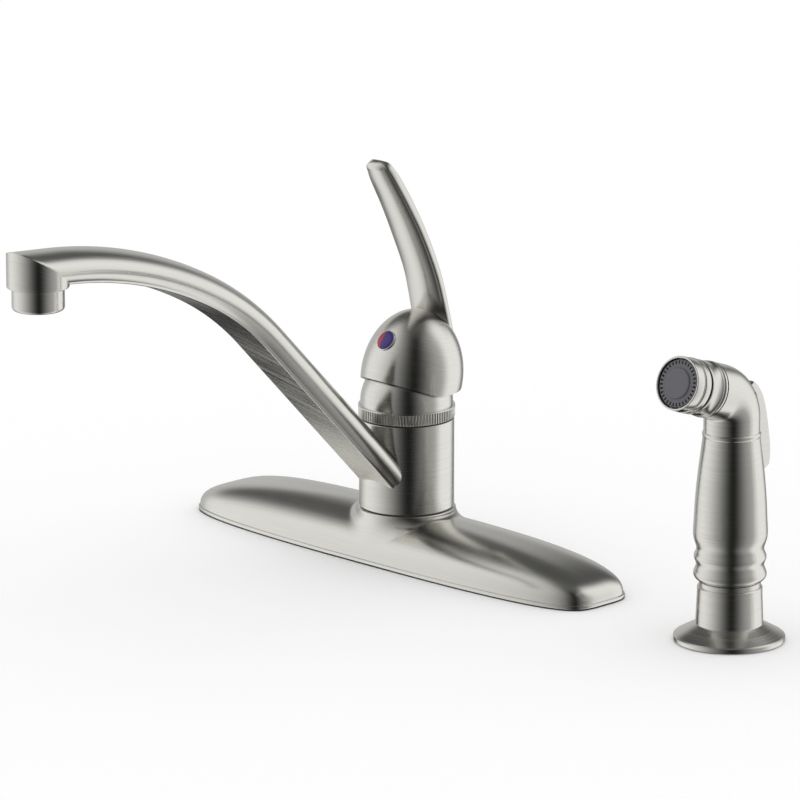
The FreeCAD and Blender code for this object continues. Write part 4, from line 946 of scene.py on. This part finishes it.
class Spout(Piece):
    """Sleeve, arm and outlet head."""

    sizes = SpoutSizes()

    def path(self, stations: int) -> Tuple[np.ndarray, np.ndarray]:
        """Underside of the arm and its slope at each station.

        Args:
            stations: number of points.

        Returns:
            Points (y, z) and slopes in radians, from the sleeve out.
        """
        s = self.sizes
        steep, middle, flat = (math.radians(v) for v in (s.slope, s.mid_slope, s.end_slope))
        here = (s.bend_y, s.start[1] + (s.start[0] - s.bend_y) * math.tan(steep))
        points = [(*s.start, steep), (*here, steep)]
        for radius, first, last in ((s.first_radius, steep, middle),
                                    (s.second_radius, middle, flat)):
            for angle in np.linspace(first, last, 60)[1:]:
                points.append((here[0] - radius * (math.sin(first) - math.sin(angle)),
                               here[1] + radius * (math.cos(angle) - math.cos(first)), angle))
            here = points[-1][:2]
        far = s.reach + s.head_radius + s.past_head
        points.append((-far, here[1] + (far + here[0]) * math.tan(flat), flat))
        line = np.array(points)
        steps = np.r_[0, np.cumsum(np.hypot(np.diff(line[:, 0]), np.diff(line[:, 1])))]
        wanted = np.linspace(0, steps[-1], stations)
        y, z, slopes = (np.interp(wanted, steps, column) for column in line.T)
        return np.stack([y, z], axis=1), slopes

    def section(self) -> np.ndarray:
        """D-shaped section, from one lower corner over the top to the other.

        Returns:
            Points (across, out of the underside).
        """
        s = self.sizes
        base, wide, flank = s.base_half, s.wide_half, s.flank
        side = [(base - 0.9, 0.0), (base - 0.45, 0.12), (base - 0.12, 0.45)]
        for share in np.linspace(0, 1, 12):
            out = s.bulge * share * (1 - share) * (wide - base)
            side.append((lerp(base, wide, share) + out, lerp(0.9, flank, share)))
        for angle in np.linspace(0, math.pi / 2, 28)[1:]:
            rise = (s.section_height - flank) * math.sin(angle)
            side.append((wide * math.cos(angle), flank + rise))
        right = np.array(side)
        return np.vstack([right, right[:-1][::-1] * (-1, 1)])

    def build(self) -> None:
        """Make the spout."""
        s = self.sizes
        points, slopes = self.path(150)
        section = self.section()
        grid = np.zeros((len(points), len(section), 3))
        grid[:, :, 0] = section[:, 0]
        grid[:, :, 1] = points[:, :1] + section[:, 1] * np.sin(slopes)[:, None]
        grid[:, :, 2] = points[:, 1:] + section[:, 1] * np.cos(slopes)[:, None]
        arm = MeshMaker("spout_arm")
        arm.grid(grid, along_rows=True)
        under = MeshMaker("spout_underside")
        strip = [lerp(grid[:, -1], grid[:, 0], share) for share in np.linspace(0, 1, 5)]
        under.grid(np.stack(strip, axis=1), along_rows=True)
        arm_made = self.trim(arm.finish(), s.head_radius)
        under_made = self.trim(under.finish(), s.head_radius - 0.4)
        sleeve = MeshMaker("spout_sleeve")
        low, high = s.sleeve_low, s.sleeve_high
        sleeve.spin(rounded([(s.bore_radius, low + 0.4), (s.bore_radius, low),
                             (s.sleeve_radius, low), (s.sleeve_radius, high),
                             (s.bore_radius, high), (s.bore_radius, high - 1)], 0.5))
        self.settle(sleeve.finish(), "nickel", "spout", Slot.NICKEL, "spout")
        self.settle(self.head(points, slopes), "nickel", "spout", Slot.NICKEL)
        self.settle(arm_made, "nickel fine", "spout", Slot.NICKEL)
        self.settle(under_made, "nickel underside", "spout", Slot.NICKEL)

    def trim(self, made: bpy.types.Object, head_radius: float) -> bpy.types.Object:
        """Stop the arm at the head's outer wall and inside the sleeve's wall.

        Args:
            made: the swept piece.
            head_radius: where it stops, from the head's axis.

        Returns:
            The object.
        """
        limit = self.sizes.reach * MM
        radius = head_radius * MM
        wall = (self.sizes.bore_radius + 1.0) * MM
        for vert in made.data.vertices:
            past = -vert.co.y - limit
            reach = math.hypot(vert.co.x, past)
            if past > 0 and reach > radius:
                vert.co.x *= radius / reach
                vert.co.y = -limit - past * radius / reach
            inside = math.hypot(vert.co.x, vert.co.y)
            if inside < wall:
                vert.co.x *= wall / inside
                vert.co.y *= wall / inside
        return made

    def head(self, points: np.ndarray, slopes: np.ndarray) -> bpy.types.Object:
        """Upright wall of the outlet head, cut by the arm's crown.

        Args:
            points: underside of the arm.
            slopes: its slopes.

        Returns:
            The object.
        """
        s = self.sizes
        order = np.argsort(points[:, 0])
        angles = math.radians(90) + np.linspace(0, FULL_TURN, 200, endpoint=False)
        x, y = s.head_radius * np.cos(angles), s.head_radius * np.sin(angles)
        base = np.interp(y - s.reach, points[order, 0], points[order, 1])
        slope = np.interp(y - s.reach, points[order, 0], slopes[order])
        share = np.clip(np.abs(x) / s.wide_half, 0, 0.999)
        crown = s.flank + (s.section_height - s.flank) * np.sqrt(1 - share ** 2)
        top = base + crown / np.cos(slope)
        top = np.where(np.sin(angles) > 0.25, np.minimum(top, base + s.flank), top)
        rows = [ring(angles, s.head_radius * s.foot_ring, s.head_bottom)]
        rows += [ring(angles, s.head_radius - inset, s.head_bottom + level)
                 for level, inset in ((0.0, 0.5), (0.25, 0.12), (s.head_edge, 0.0))]
        rows += [ring(angles, s.head_radius, lerp(s.head_bottom + s.head_edge, top, part))
                 for part in np.linspace(0, 1, 24)[1:]]
        maker = MeshMaker("spout_head")
        maker.grid(np.array(rows) - (0, s.reach, 0), closed=True)
        return maker.finish()


class Bonnet(Piece):
    """Knurled ring and dome over the cartridge."""

    sizes = BonnetSizes()
    columns_per_groove = 8
    deep_columns = (2, 3, 4)
    sloping_columns = (1, 5)

    def build(self) -> None:
        """Make the bonnet."""
        s = self.sizes
        columns = s.knurl_count * self.columns_per_groove
        angles = np.linspace(0, FULL_TURN, columns, endpoint=False)
        wave = np.arange(columns) % self.columns_per_groove
        depth = s.knurl_depth * (np.isin(wave, self.deep_columns)
                                 + 0.35 * np.isin(wave, self.sloping_columns))
        low, high = s.knurl_low, s.knurl_high
        rows = [ring(angles, s.knurl_radius - inset - depth * share, level)
                for level, inset, share in ((low, 0.35, 0.2), (low + 0.4, 0.0, 1.0),
                                            (high - 0.9, 0.0, 1.0), (high - 0.45, 0.0, 0.0),
                                            (high - 0.1, 0.12, 0.0), (high, 0.4, 0.0),
                                            (high + 0.05, 1.1, 0.0))]
        knurl = MeshMaker("bonnet_knurl")
        knurl.grid(np.array(rows), closed=True)
        start = math.asin((high + 0.02 - s.pivot) / s.dome_radius)
        profile = [(s.knurl_radius - 2.2, high - 0.2)]
        profile += [(s.dome_radius * math.cos(angle), s.pivot + s.dome_radius * math.sin(angle))
                    for angle in np.linspace(start, math.radians(s.dome_end), 30)]
        profile.append((profile[-1][0] - 1.5, profile[-1][1] - 1.6))
        dome = MeshMaker("bonnet_dome")
        dome.spin(profile)
        self.settle(knurl.finish(sharp=28), "nickel fine", "base", Slot.NICKEL, "bonnet")
        self.settle(dome.finish(), "nickel", "base", Slot.NICKEL)


class Handle(Piece):
    """Hood, lever and index button.

    The stations of the lever are y, z, width and thickness; the button's
    profiles are radius and height over the hood.
    """

    sizes = HandleSizes()
    middle = np.array([0.0, sizes.setback, sizes.wide_height])
    stations = ((13.6, 31.0, 20.8, 8.2), (7.8, 43.8, 20.4, 8.0), (-1.2, 61.3, 19.3, 8.0),
                (-13.6, 78.6, 18.6, 8.0), (-25.4, 92.9, 16.8, 7.9), (-35.0, 103.2, 15.2, 7.4),
                (-40.2, 108.4, 13.2, 6.0))
    button_face = ((4.55, -1.2), (4.5, 0.25), (4.3, 0.5), (3.6, 0.85), (2.6, 1.1), (1.4, 1.26),
                   (0.02, 1.3))
    button_ring = ((4.55, -1.2), (4.55, 0.18), (4.72, 0.30), (4.95, 0.22), (5.05, -0.4))

    def placed(self, points: np.ndarray) -> np.ndarray:
        """Move points from the handle's own frame to the faucet's.

        Args:
            points: array ending in x, y, z.

        Returns:
            The moved points.
        """
        s = self.sizes
        lean = math.radians(s.tilt)
        out = np.array(points, float)
        y, z = out[..., 1].copy(), out[..., 2].copy()
        out[..., 1] = y * math.cos(lean) + z * math.sin(lean)
        out[..., 2] = s.pivot - y * math.sin(lean) + z * math.cos(lean)
        return out

    def egg(self, turn: np.ndarray, angles: np.ndarray) -> np.ndarray:
        """Points of the hood in its own frame.

        Args:
            turn: angle above the widest level, radians.
            angles: direction round the axis, radians.

        Returns:
            Points.
        """
        s = self.sizes
        radius = s.radius * np.cos(turn)
        height = s.wide_height + s.crown * np.sin(turn)
        return np.stack([radius * np.cos(angles), s.setback + radius * np.sin(angles), height],
                        axis=-1)

    def visor(self, y: np.ndarray) -> np.ndarray:
        """Level of the rim at a place across the hood.

        Args:
            y: place in the faucet's frame.

        Returns:
            Levels.
        """
        s = self.sizes
        run = s.visor_round * math.tan(math.atan(s.visor_slope) / 2)
        ahead = s.visor_start - y
        straight = np.maximum(ahead, 0) * s.visor_slope
        blend = np.clip((ahead + run) / (2 * run), 0, 1)
        eased = (ahead + run) ** 2 / (4 * run) * s.visor_slope
        return s.rim_level + np.where((blend > 0) & (blend < 1), eased, straight)

    def rim_turn(self, angles: np.ndarray, inset: float) -> np.ndarray:
        """Angle on the egg where it meets the rim.

        Args:
            angles: directions round the axis.
            inset: how far the wall lies inside the skin.

        Returns:
            Angles in radians.
        """
        def below(turn: np.ndarray) -> np.ndarray:
            """Whether points at these angles lie under the rim."""
            where = self.placed(self.inner(self.egg(turn, angles), inset))
            return where[..., 2] < self.visor(where[..., 1])

        return crossing(np.full_like(angles, -0.55), np.full_like(angles, 1.0), below)

    def inner(self, points: np.ndarray, inset: float) -> np.ndarray:
        """Points of the handle's own frame, drawn in towards the hood's middle."""
        return points - unit(points - self.middle) * inset

    def hood(self) -> bpy.types.Object:
        """Egg-shaped hood with its cut-back rim.

        Returns:
            The object.
        """
        angles = math.radians(135) + np.linspace(0, FULL_TURN, 240, endpoint=False)
        rim = self.rim_turn(angles, 0.0)
        skin = np.array([self.placed(self.egg(lerp(math.pi / 2, rim, share), angles))
                         for share in np.linspace(0, 1, 70)])
        skin[0] = skin[0].mean(axis=0)
        wall = self.rim_turn(angles, self.sizes.wall)
        inside, deep = (self.placed(self.inner(self.egg(turn, angles), self.sizes.wall))
                        for turn in (wall, wall + 0.5))
        ease = lerp(skin[-1], inside, 0.25) - (0, 0, 0.05)
        skin[-1] += (0, 0, 0.18)
        maker = MeshMaker("handle_hood")
        maker.grid(np.concatenate([skin, ease[None], inside[None]]), closed=True)
        maker.grid(np.stack([inside, deep]), closed=True)
        return maker.finish(sharp=40, merge=0.01)

    def lever_section(self, width: float, thickness: float, count: int) -> np.ndarray:
        """Section with a domed front face, an edge on both sides and a round back.

        Args:
            width: across the lever.
            thickness: front to back.
            count: number of points round it.

        Returns:
            Points (x, y) with -y to the front.
        """
        s = self.sizes
        half, back = width / 2, thickness / 2 - s.back_shave
        front = -thickness / 2 - s.face_rise
        sides = []
        for lean, soft in ((s.face_lean_right, s.soft_right),
                           (s.face_lean_left, s.soft_left)):
            widest = math.radians(lean)
            radius = (1 - 0.1 * soft) * half / math.sin(widest)
            key = [(radius * math.sin(turn), front + radius * (1 - math.cos(turn)))
                   for turn in np.linspace(0, widest, 8)]
            edge = key[-1][1]
            key += [(half * (1 - 0.045 * soft), edge + 0.25 * soft),
                    (half * (1 - 0.01 * soft), edge + 0.7 * soft), (half, edge + 1.6 * soft),
                    (half * 0.94, back * 0.55), (half * 0.62, back * 0.88), (0.0, back)]
            sides.append(catmull(key, count // 2 + 1))
        right, left = sides
        return np.vstack([right, left[1:-1][::-1] * (-1, 1)])

    def lever(self) -> bpy.types.Object:
        """Blade with its domed face, flared where it meets the hood.

        Returns:
            The object.
        """
        curve = catmull(self.stations, 90)
        line, sizes = curve[:, :2], curve[:, 2:]
        tangent = unit(np.gradient(line, axis=0))
        rows = []
        for (y, z), (width, thick), (ty, tz) in zip(line, sizes, tangent):
            across, out = self.lever_section(width * self.sizes.lever_gain, thick, 96).T
            rows.append(np.stack([across, y + out * tz, z - out * ty], axis=1))
        grid = np.array(rows)
        maker = MeshMaker("handle_lever")
        foot = np.concatenate([self.flare(grid), grid])
        for part in (foot, self.tip(grid[-1], tangent[-1])):
            maker.grid(self.placed(part), closed=True, along_rows=True)
        return maker.finish(sharp=60, merge=0.003)

    def flare(self, grid: Grid) -> Grid:
        """Rows that widen the lever's foot onto the hood.

        Args:
            grid: the lever's own rows, foot first.

        Returns:
            Rows from the hood up to the lever's foot.
        """
        s = self.sizes
        foot = grid[0]
        down = unit(foot - grid[4])
        scale = np.array([s.radius, s.radius, s.crown])

        def outside(reach: np.ndarray) -> np.ndarray:
            """Whether the lever's lines are still outside the hood."""
            return np.linalg.norm((foot + down * reach - self.middle) / scale, axis=1,
                                  keepdims=True) >= 1

        reach = crossing(np.full((len(foot), 1), -10.0), np.full((len(foot), 1), 30.0), outside)
        hit = foot + down * reach
        outward = unit(hit - hit.mean(axis=0))
        spread = s.flare_side - s.flare_front_less * np.clip(-outward[:, 1:2], 0, 1)
        away = hit + outward * spread - self.middle
        landing = self.middle + away / np.linalg.norm(away / scale, axis=1, keepdims=True)
        normal = unit((landing - self.middle) / scale ** 2)
        back = hit - landing
        corner = hit - normal * np.sum(back * normal, axis=1, keepdims=True)
        start = landing - normal * 0.03
        return np.array([(1 - t) ** 2 * start + 2 * t * (1 - t) * corner + t ** 2 * foot
                         for t in np.linspace(0, 1, 18)[:-1]])

    def tip(self, last: np.ndarray, tangent: np.ndarray) -> Grid:
        """Rounded end of the lever.

        Args:
            last: last ring of the lever.
            tangent: its direction (y, z).

        Returns:
            Rows that close the lever.
        """
        s = self.sizes
        middle = last.mean(axis=0)
        along = np.array([0.0, *tangent]) * s.tip_length
        return np.array([middle + (last - middle) * max(math.cos(turn), 0.004) ** s.tip_power
                         + along * math.sin(turn) for turn in np.linspace(0, math.pi / 2, 13)])

    def button(self) -> None:
        """Domed index button in its ring."""
        s = self.sizes
        share = (s.button_height - s.wide_height) / s.crown
        radius = s.radius * math.sqrt(1 - share ** 2)
        slope = (s.button_height - s.wide_height) * s.radius ** 2 / s.crown ** 2
        across = np.array([1.0, 0.0, 0.0])
        outward = unit(np.array([0.0, -radius, slope]))
        upward = np.cross(across, outward)
        base = np.array([0.0, s.setback - radius, s.button_height])
        turns = np.linspace(0, FULL_TURN, 72, endpoint=False)[:, None]
        round_it = across * np.cos(turns) + upward * np.sin(turns)
        for name, profile, finish, nodes in (
                ("index_button_face", self.button_face, "index", ("index_button",)),
                ("index_button_ring", self.button_ring, "nickel plain", ())):
            maker = MeshMaker(name)
            rows = [base + round_it * r + outward * h for r, h in catmull(profile, 14)]
            maker.grid(self.placed(np.array(rows)), closed=True)
            self.settle(maker.finish(sharp=50), finish, "handle", Slot.INDEX, *nodes)

    def build(self) -> None:
        """Make the handle."""
        self.settle(self.hood(), "nickel", "handle", Slot.NICKEL, "handle")
        self.settle(self.lever(), "nickel fine", "handle", Slot.NICKEL)
        self.button()


class Nozzle(Piece):
    """Bands round the spray's nozzle and its slotted face."""

    sizes = SpraySizes()

    def turned(self, name: str, profile: Profile) -> bpy.types.Object:
        """Piece turned about the nozzle's axis.

        Args:
            name: object name.
            profile: (radius, distance from the elbow) pairs.

        Returns:
            The object.
        """
        angles = np.linspace(0, FULL_TURN, 120, endpoint=False)
        radius, along = np.array(profile, float).T[:, :, None]
        maker = MeshMaker(name)
        maker.grid(self.placed(radius * np.cos(angles), radius * np.sin(angles),
                               along + np.zeros_like(angles)), closed=True)
        return maker.finish(sharp=38)

    def placed(self, across: np.ndarray, up: np.ndarray, along: np.ndarray) -> np.ndarray:
        """Turn the nozzle's own coordinates into the model's.

        Args:
            across: to the side.
            up: at a right angle to the nozzle, upward.
            along: distance from the elbow.

        Returns:
            Points, last axis x, y, z.
        """
        s = self.sizes
        tilt = math.radians(s.nozzle_tilt)
        return np.stack([s.x + across, up * math.sin(tilt) - along * math.cos(tilt),
                         s.elbow_level + up * math.cos(tilt) + along * math.sin(tilt)], axis=2)

    def face(self) -> bpy.types.Object:
        """Face disc with a circle of short slots.

        Returns:
            The object.
        """
        s = self.sizes
        level = s.nozzle_face - s.face_inset
        wall = s.slot_wall
        half = s.slot_width / 2 / s.slot_radius
        middles = np.linspace(0, FULL_TURN, s.slots, endpoint=False)[:, None]
        offsets = np.array([-half - wall / 9, -half, half, half + wall / 9])
        angles = (middles + offsets).ravel()
        sunk_columns = np.tile([0.0, 1.0, 1.0, 0.0], s.slots)
        low, high = s.slot_radius - s.slot_length / 2, s.slot_radius + s.slot_length / 2
        rows = np.array([(s.plug_radius - 0.4, 0, 0), (low - wall, 0, 0), (low, 1, 0),
                         (high, 1, 0), (high + wall, 0, 0), (s.face_radius - s.face_drop, 0, 0),
                         (s.face_radius - 0.05, 0, s.face_drop)])
        radii, sunk_rows, drop = rows.T[:, :, None]
        along = level - drop - s.slot_depth * sunk_rows * sunk_columns
        maker = MeshMaker("spray_face_disc")
        maker.grid(self.placed(radii * np.cos(angles), radii * np.sin(angles), along), closed=True)
        return maker.finish(sharp=30, merge=0.001)

    def build(self) -> None:
        """Make the nozzle's bands and face."""
        s = self.sizes
        face, start = s.nozzle_face, s.collar_start
        band = rounded([(11.2, face - 0.9), (11.25, face), (12.15, face), (12.25, face - 4.6),
                        (11.6, face - 4.8), (11.6, face - 5.3), (12.4, face - 5.5),
                        (12.45, face - 7.2), (11.9, face - 7.5), (11.85, face - 9.7),
                        (10.8, face - 9.75)], 0.35)
        waist = catmull([(12.35, start + 9.7), (11.95, start + 8.0), (11.75, start + 6.2),
                         (12.0, start + 4.3), (12.6, start + 3.1)], 16)
        foot = rounded([(12.62, start + 2.9), (12.1, start + 2.5), (12.1, start + 2.2),
                        (12.7, start + 1.9), (12.75, start + 0.7), (11.0, start + 0.45)], 0.3)
        collar = np.vstack([[(10.8, start + 10.25), (12.2, start + 10.2)], waist, foot])
        level = face - s.face_inset
        plug = rounded([(s.plug_radius, level - 0.8), (s.plug_radius, level + 0.75),
                        (s.plug_radius - 0.7, level + 0.9), (0.02, level + 0.95)], 0.3)
        for name, profile, finish, slot, node in (
                ("face_plug_disc", plug, "face plastic", Slot.GREY, "face_plug"),
                ("nozzle_ring_band", band, "nickel", Slot.NICKEL, "nozzle_ring"),
                ("nozzle_collar_band", collar, "nickel", Slot.NICKEL, "nozzle_collar")):
            self.settle(self.turned(name, profile), finish, "spray_head", slot, node)
        self.settle(self.face(), "face plastic", "spray_head", Slot.FACE, "spray_face")


class CadNodes(Piece):
    """Finishes for the CAD nodes that show as they are, but the glide rings, which get a painted
    gap shadow.
    """

    by_slot = {
        Slot.NICKEL: "nickel plain", Slot.PLATED: "nickel plain", Slot.BRASS: "brass",
        Slot.STEEL: "steel", Slot.RUBBER: "rubber", Slot.WHITE: "white plastic",
        Slot.GREY: "grey plastic", Slot.FACE: "face plastic", Slot.CERAMIC: "ceramic",
        Slot.INDEX: "index",
    }
    # glide rings painted near black as the shadow in the gaps beside the sleeve, not their own
    # white plastic
    painted_gap_rings = ("lower_glide_ring", "upper_glide_ring")

    def build(self, frame: dict) -> None:
        """Give every node its finish.
        """
        slots = {part["node"]: part["material_slot"] for part in frame["record"]["subparts"]}
        for name, made in frame["nodes"].items():
            finish = "painted gap shadow" if name in self.painted_gap_rings else self.by_slot[Slot(slots[name])]
            self.paint(made, finish)


# ------------------------------------------------------------------ studio
@dataclass(frozen=True)
class Panel:
    """One bright or dark panel of the studio, by direction from the faucet.

    The panel is full within its half width and half height, in degrees, and
    fades out over fade_round and fade_high beyond them.
    """

    azimuth: float
    half_width: float
    fade_round: float
    elevation: float
    half_height: float
    fade_high: float
    light: float


class Studio:
    """Camera, floor, world and the panels that the metal reflects."""

    camera = CameraSizes()
    base_light = 0.012
    floor_half = 6000.0
    dome_radius = 8000.0
    clip_end = 30
    angles = {"Half width": "half_width", "Fade round": "fade_round", "Elevation": "elevation",
              "Half height": "half_height", "Fade high": "fade_high"}
    panels: Sequence[Panel] = (
        Panel(-157.0, 5.0, 112.0, -20.0, 55.0, 60.0, 1.0),
        Panel(35.0, 8.0, 66.0, -20.0, 65.0, 50.0, 0.46),
        Panel(66.0, 17.0, 27.0, -20.0, 65.0, 35.0, 1.06),
        Panel(140.0, 30.0, 42.0, 70.0, 38.0, 18.0, 0.09),
        Panel(150.0, 22.0, 28.0, -5.0, 20.0, 20.0, 0.58),
        Panel(134.0, 32.0, 18.0, -65.0, 34.0, 14.0, 0.015),
        Panel(0.0, 180.0, 1.0, 90.0, 5.0, 27.0, 0.12),
    )

    def add_camera(self) -> None:
        """Place the camera as in the photograph."""
        c = self.camera
        back = Vector(c.back).normalized()
        right = Vector((1, 1, 0)).normalized()
        up = back.cross(right).normalized()
        centre = back * c.distance - right * c.shift_right - up * c.shift_up
        data = bpy.data.cameras.new("camera")
        data.lens = c.lens
        data.sensor_width = c.sensor
        data.clip_end = self.clip_end
        made = bpy.data.objects.new("camera", data)
        bpy.context.scene.collection.objects.link(made)
        axes = Matrix((right, up, back)).transposed().to_4x4()
        made.matrix_world = Matrix.Translation(centre) @ axes
        bpy.context.scene.camera = made

    def add_world(self) -> None:
        """White surroundings of even, soft light."""
        world = bpy.data.worlds.new("studio")
        bpy.context.scene.world = world
        world.use_nodes = True
        sky = world.node_tree.nodes["Background"]
        sky.inputs["Color"].default_value = (1, 1, 1, 1)
        sky.inputs["Strength"].default_value = 1.0

    def add_floor(self) -> None:
        """Pale floor under the faucet."""
        maker = MeshMaker("floor")
        half = self.floor_half
        maker.grid(np.array([[[x, y, 0] for x in (-half, half)] for y in (-half, half)]))
        floor = maker.finish()
        material = bpy.data.materials.new("floor")
        material.use_nodes = True
        shader = material.node_tree.nodes["Principled BSDF"]
        for label, value in (("Base Color", (1.0, 1.0, 1.0, 1)), ("Roughness", 1.0),
                             ("Specular IOR Level", 0.0)):
            shader.inputs[label].default_value = value
        floor.data.materials.append(material)
        floor.visible_glossy = False

    def panel_group(self) -> bpy.types.NodeTree:
        """Node group that lays one panel over the light so far.

        Returns:
            The group.
        """
        group, tools, source, target = new_group(
            "studio panel",
            [("Direction", "NodeSocketVector", None), ("Below", "NodeSocketFloat", 0.0),
             ("Towards", "NodeSocketVector", None)]
            + [(label, "NodeSocketFloat", 1.0) for label in (*self.angles, "Light")],
            [("Result", "NodeSocketFloat")])
        where = source.outputs["Direction"]
        flat = tools.vector("NORMALIZE", tools.vector("MULTIPLY", where, (1.0, 1.0, 0.0)))
        sideways = tools.vector("DOT_PRODUCT", flat, source.outputs["Towards"])
        upward = tools.vector("DOT_PRODUCT", tools.vector("NORMALIZE", where), (0.0, 0.0, 1.0))
        aside = tools.math("ARCCOSINE", sideways)
        away = tools.math("SUBTRACT", tools.math("ARCSINE", upward), source.outputs["Elevation"])
        height = tools.math("ABSOLUTE", away)
        level = 1.0
        for measure, half, fade in ((aside, "Half width", "Fade round"),
                                    (height, "Half height", "Fade high")):
            beyond = tools.math("SUBTRACT", measure, source.outputs[half])
            beyond = tools.math("DIVIDE", beyond, source.outputs[fade])
            level = tools.math("MULTIPLY", tools.ramp(beyond, 0.0, 1.0, 1.0, 0.0), level)
        change = tools.math("SUBTRACT", source.outputs["Light"], source.outputs["Below"])
        tools.link(tools.math("MULTIPLY_ADD", change, level, source.outputs["Below"]),
                   target.inputs["Result"])
        return group

    def add_panels(self) -> None:
        """Dome of panels, seen only in the metal's reflections."""
        maker = MeshMaker("studio_dome")
        maker.spin([(self.dome_radius * math.cos(a), self.dome_radius * math.sin(a))
                    for a in np.linspace(-1.5707, 1.5707, 40)], segments=80)
        dome = maker.finish(sharp=180)
        material = bpy.data.materials.new("studio panels")
        material.use_nodes = True
        tools = NodeTree(material.node_tree)
        material.node_tree.nodes.clear()
        group = self.panel_group()
        where = tools.node("ShaderNodeTexCoord").outputs["Object"]
        value: object = self.base_light
        for panel in self.panels:
            node = tools.node("ShaderNodeGroup", node_tree=group)
            tools.link(where, node.inputs["Direction"])
            tools.put(node.inputs["Below"], value)
            angle = math.radians(panel.azimuth)
            node.inputs["Towards"].default_value = (math.cos(angle), math.sin(angle), 0.0)
            for label, name in self.angles.items():
                node.inputs[label].default_value = math.radians(getattr(panel, name))
            node.inputs["Light"].default_value = panel.light
            value = node.outputs["Result"]
        glow = tools.node("ShaderNodeEmission")
        tools.link(value, glow.inputs["Strength"])
        out = tools.node("ShaderNodeOutputMaterial")
        tools.link(glow.outputs[0], out.inputs["Surface"])
        dome.data.materials.append(material)
        for ray in ("camera", "diffuse", "shadow", "volume_scatter"):
            setattr(dome, "visible_" + ray, False)

    def build(self) -> None:
        """Make the whole studio."""
        self.add_camera()
        self.add_world()
        self.add_floor()
        self.add_panels()
        bpy.context.scene.view_settings.view_transform = "Standard"


def main() -> None:
    """Dress the faucet."""
    logging.basicConfig(level=logging.INFO)
    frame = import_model()
    Studio().build()
    finishes = Finishes()
    CadNodes(finishes).build(frame)
    for group in (DeckPlate, Spout, Bonnet, Handle, Nozzle):
        group(finishes).build()
    LOG.info("dressed %d nodes", len(frame["nodes"]))


if __name__ == "__main__":
    main()
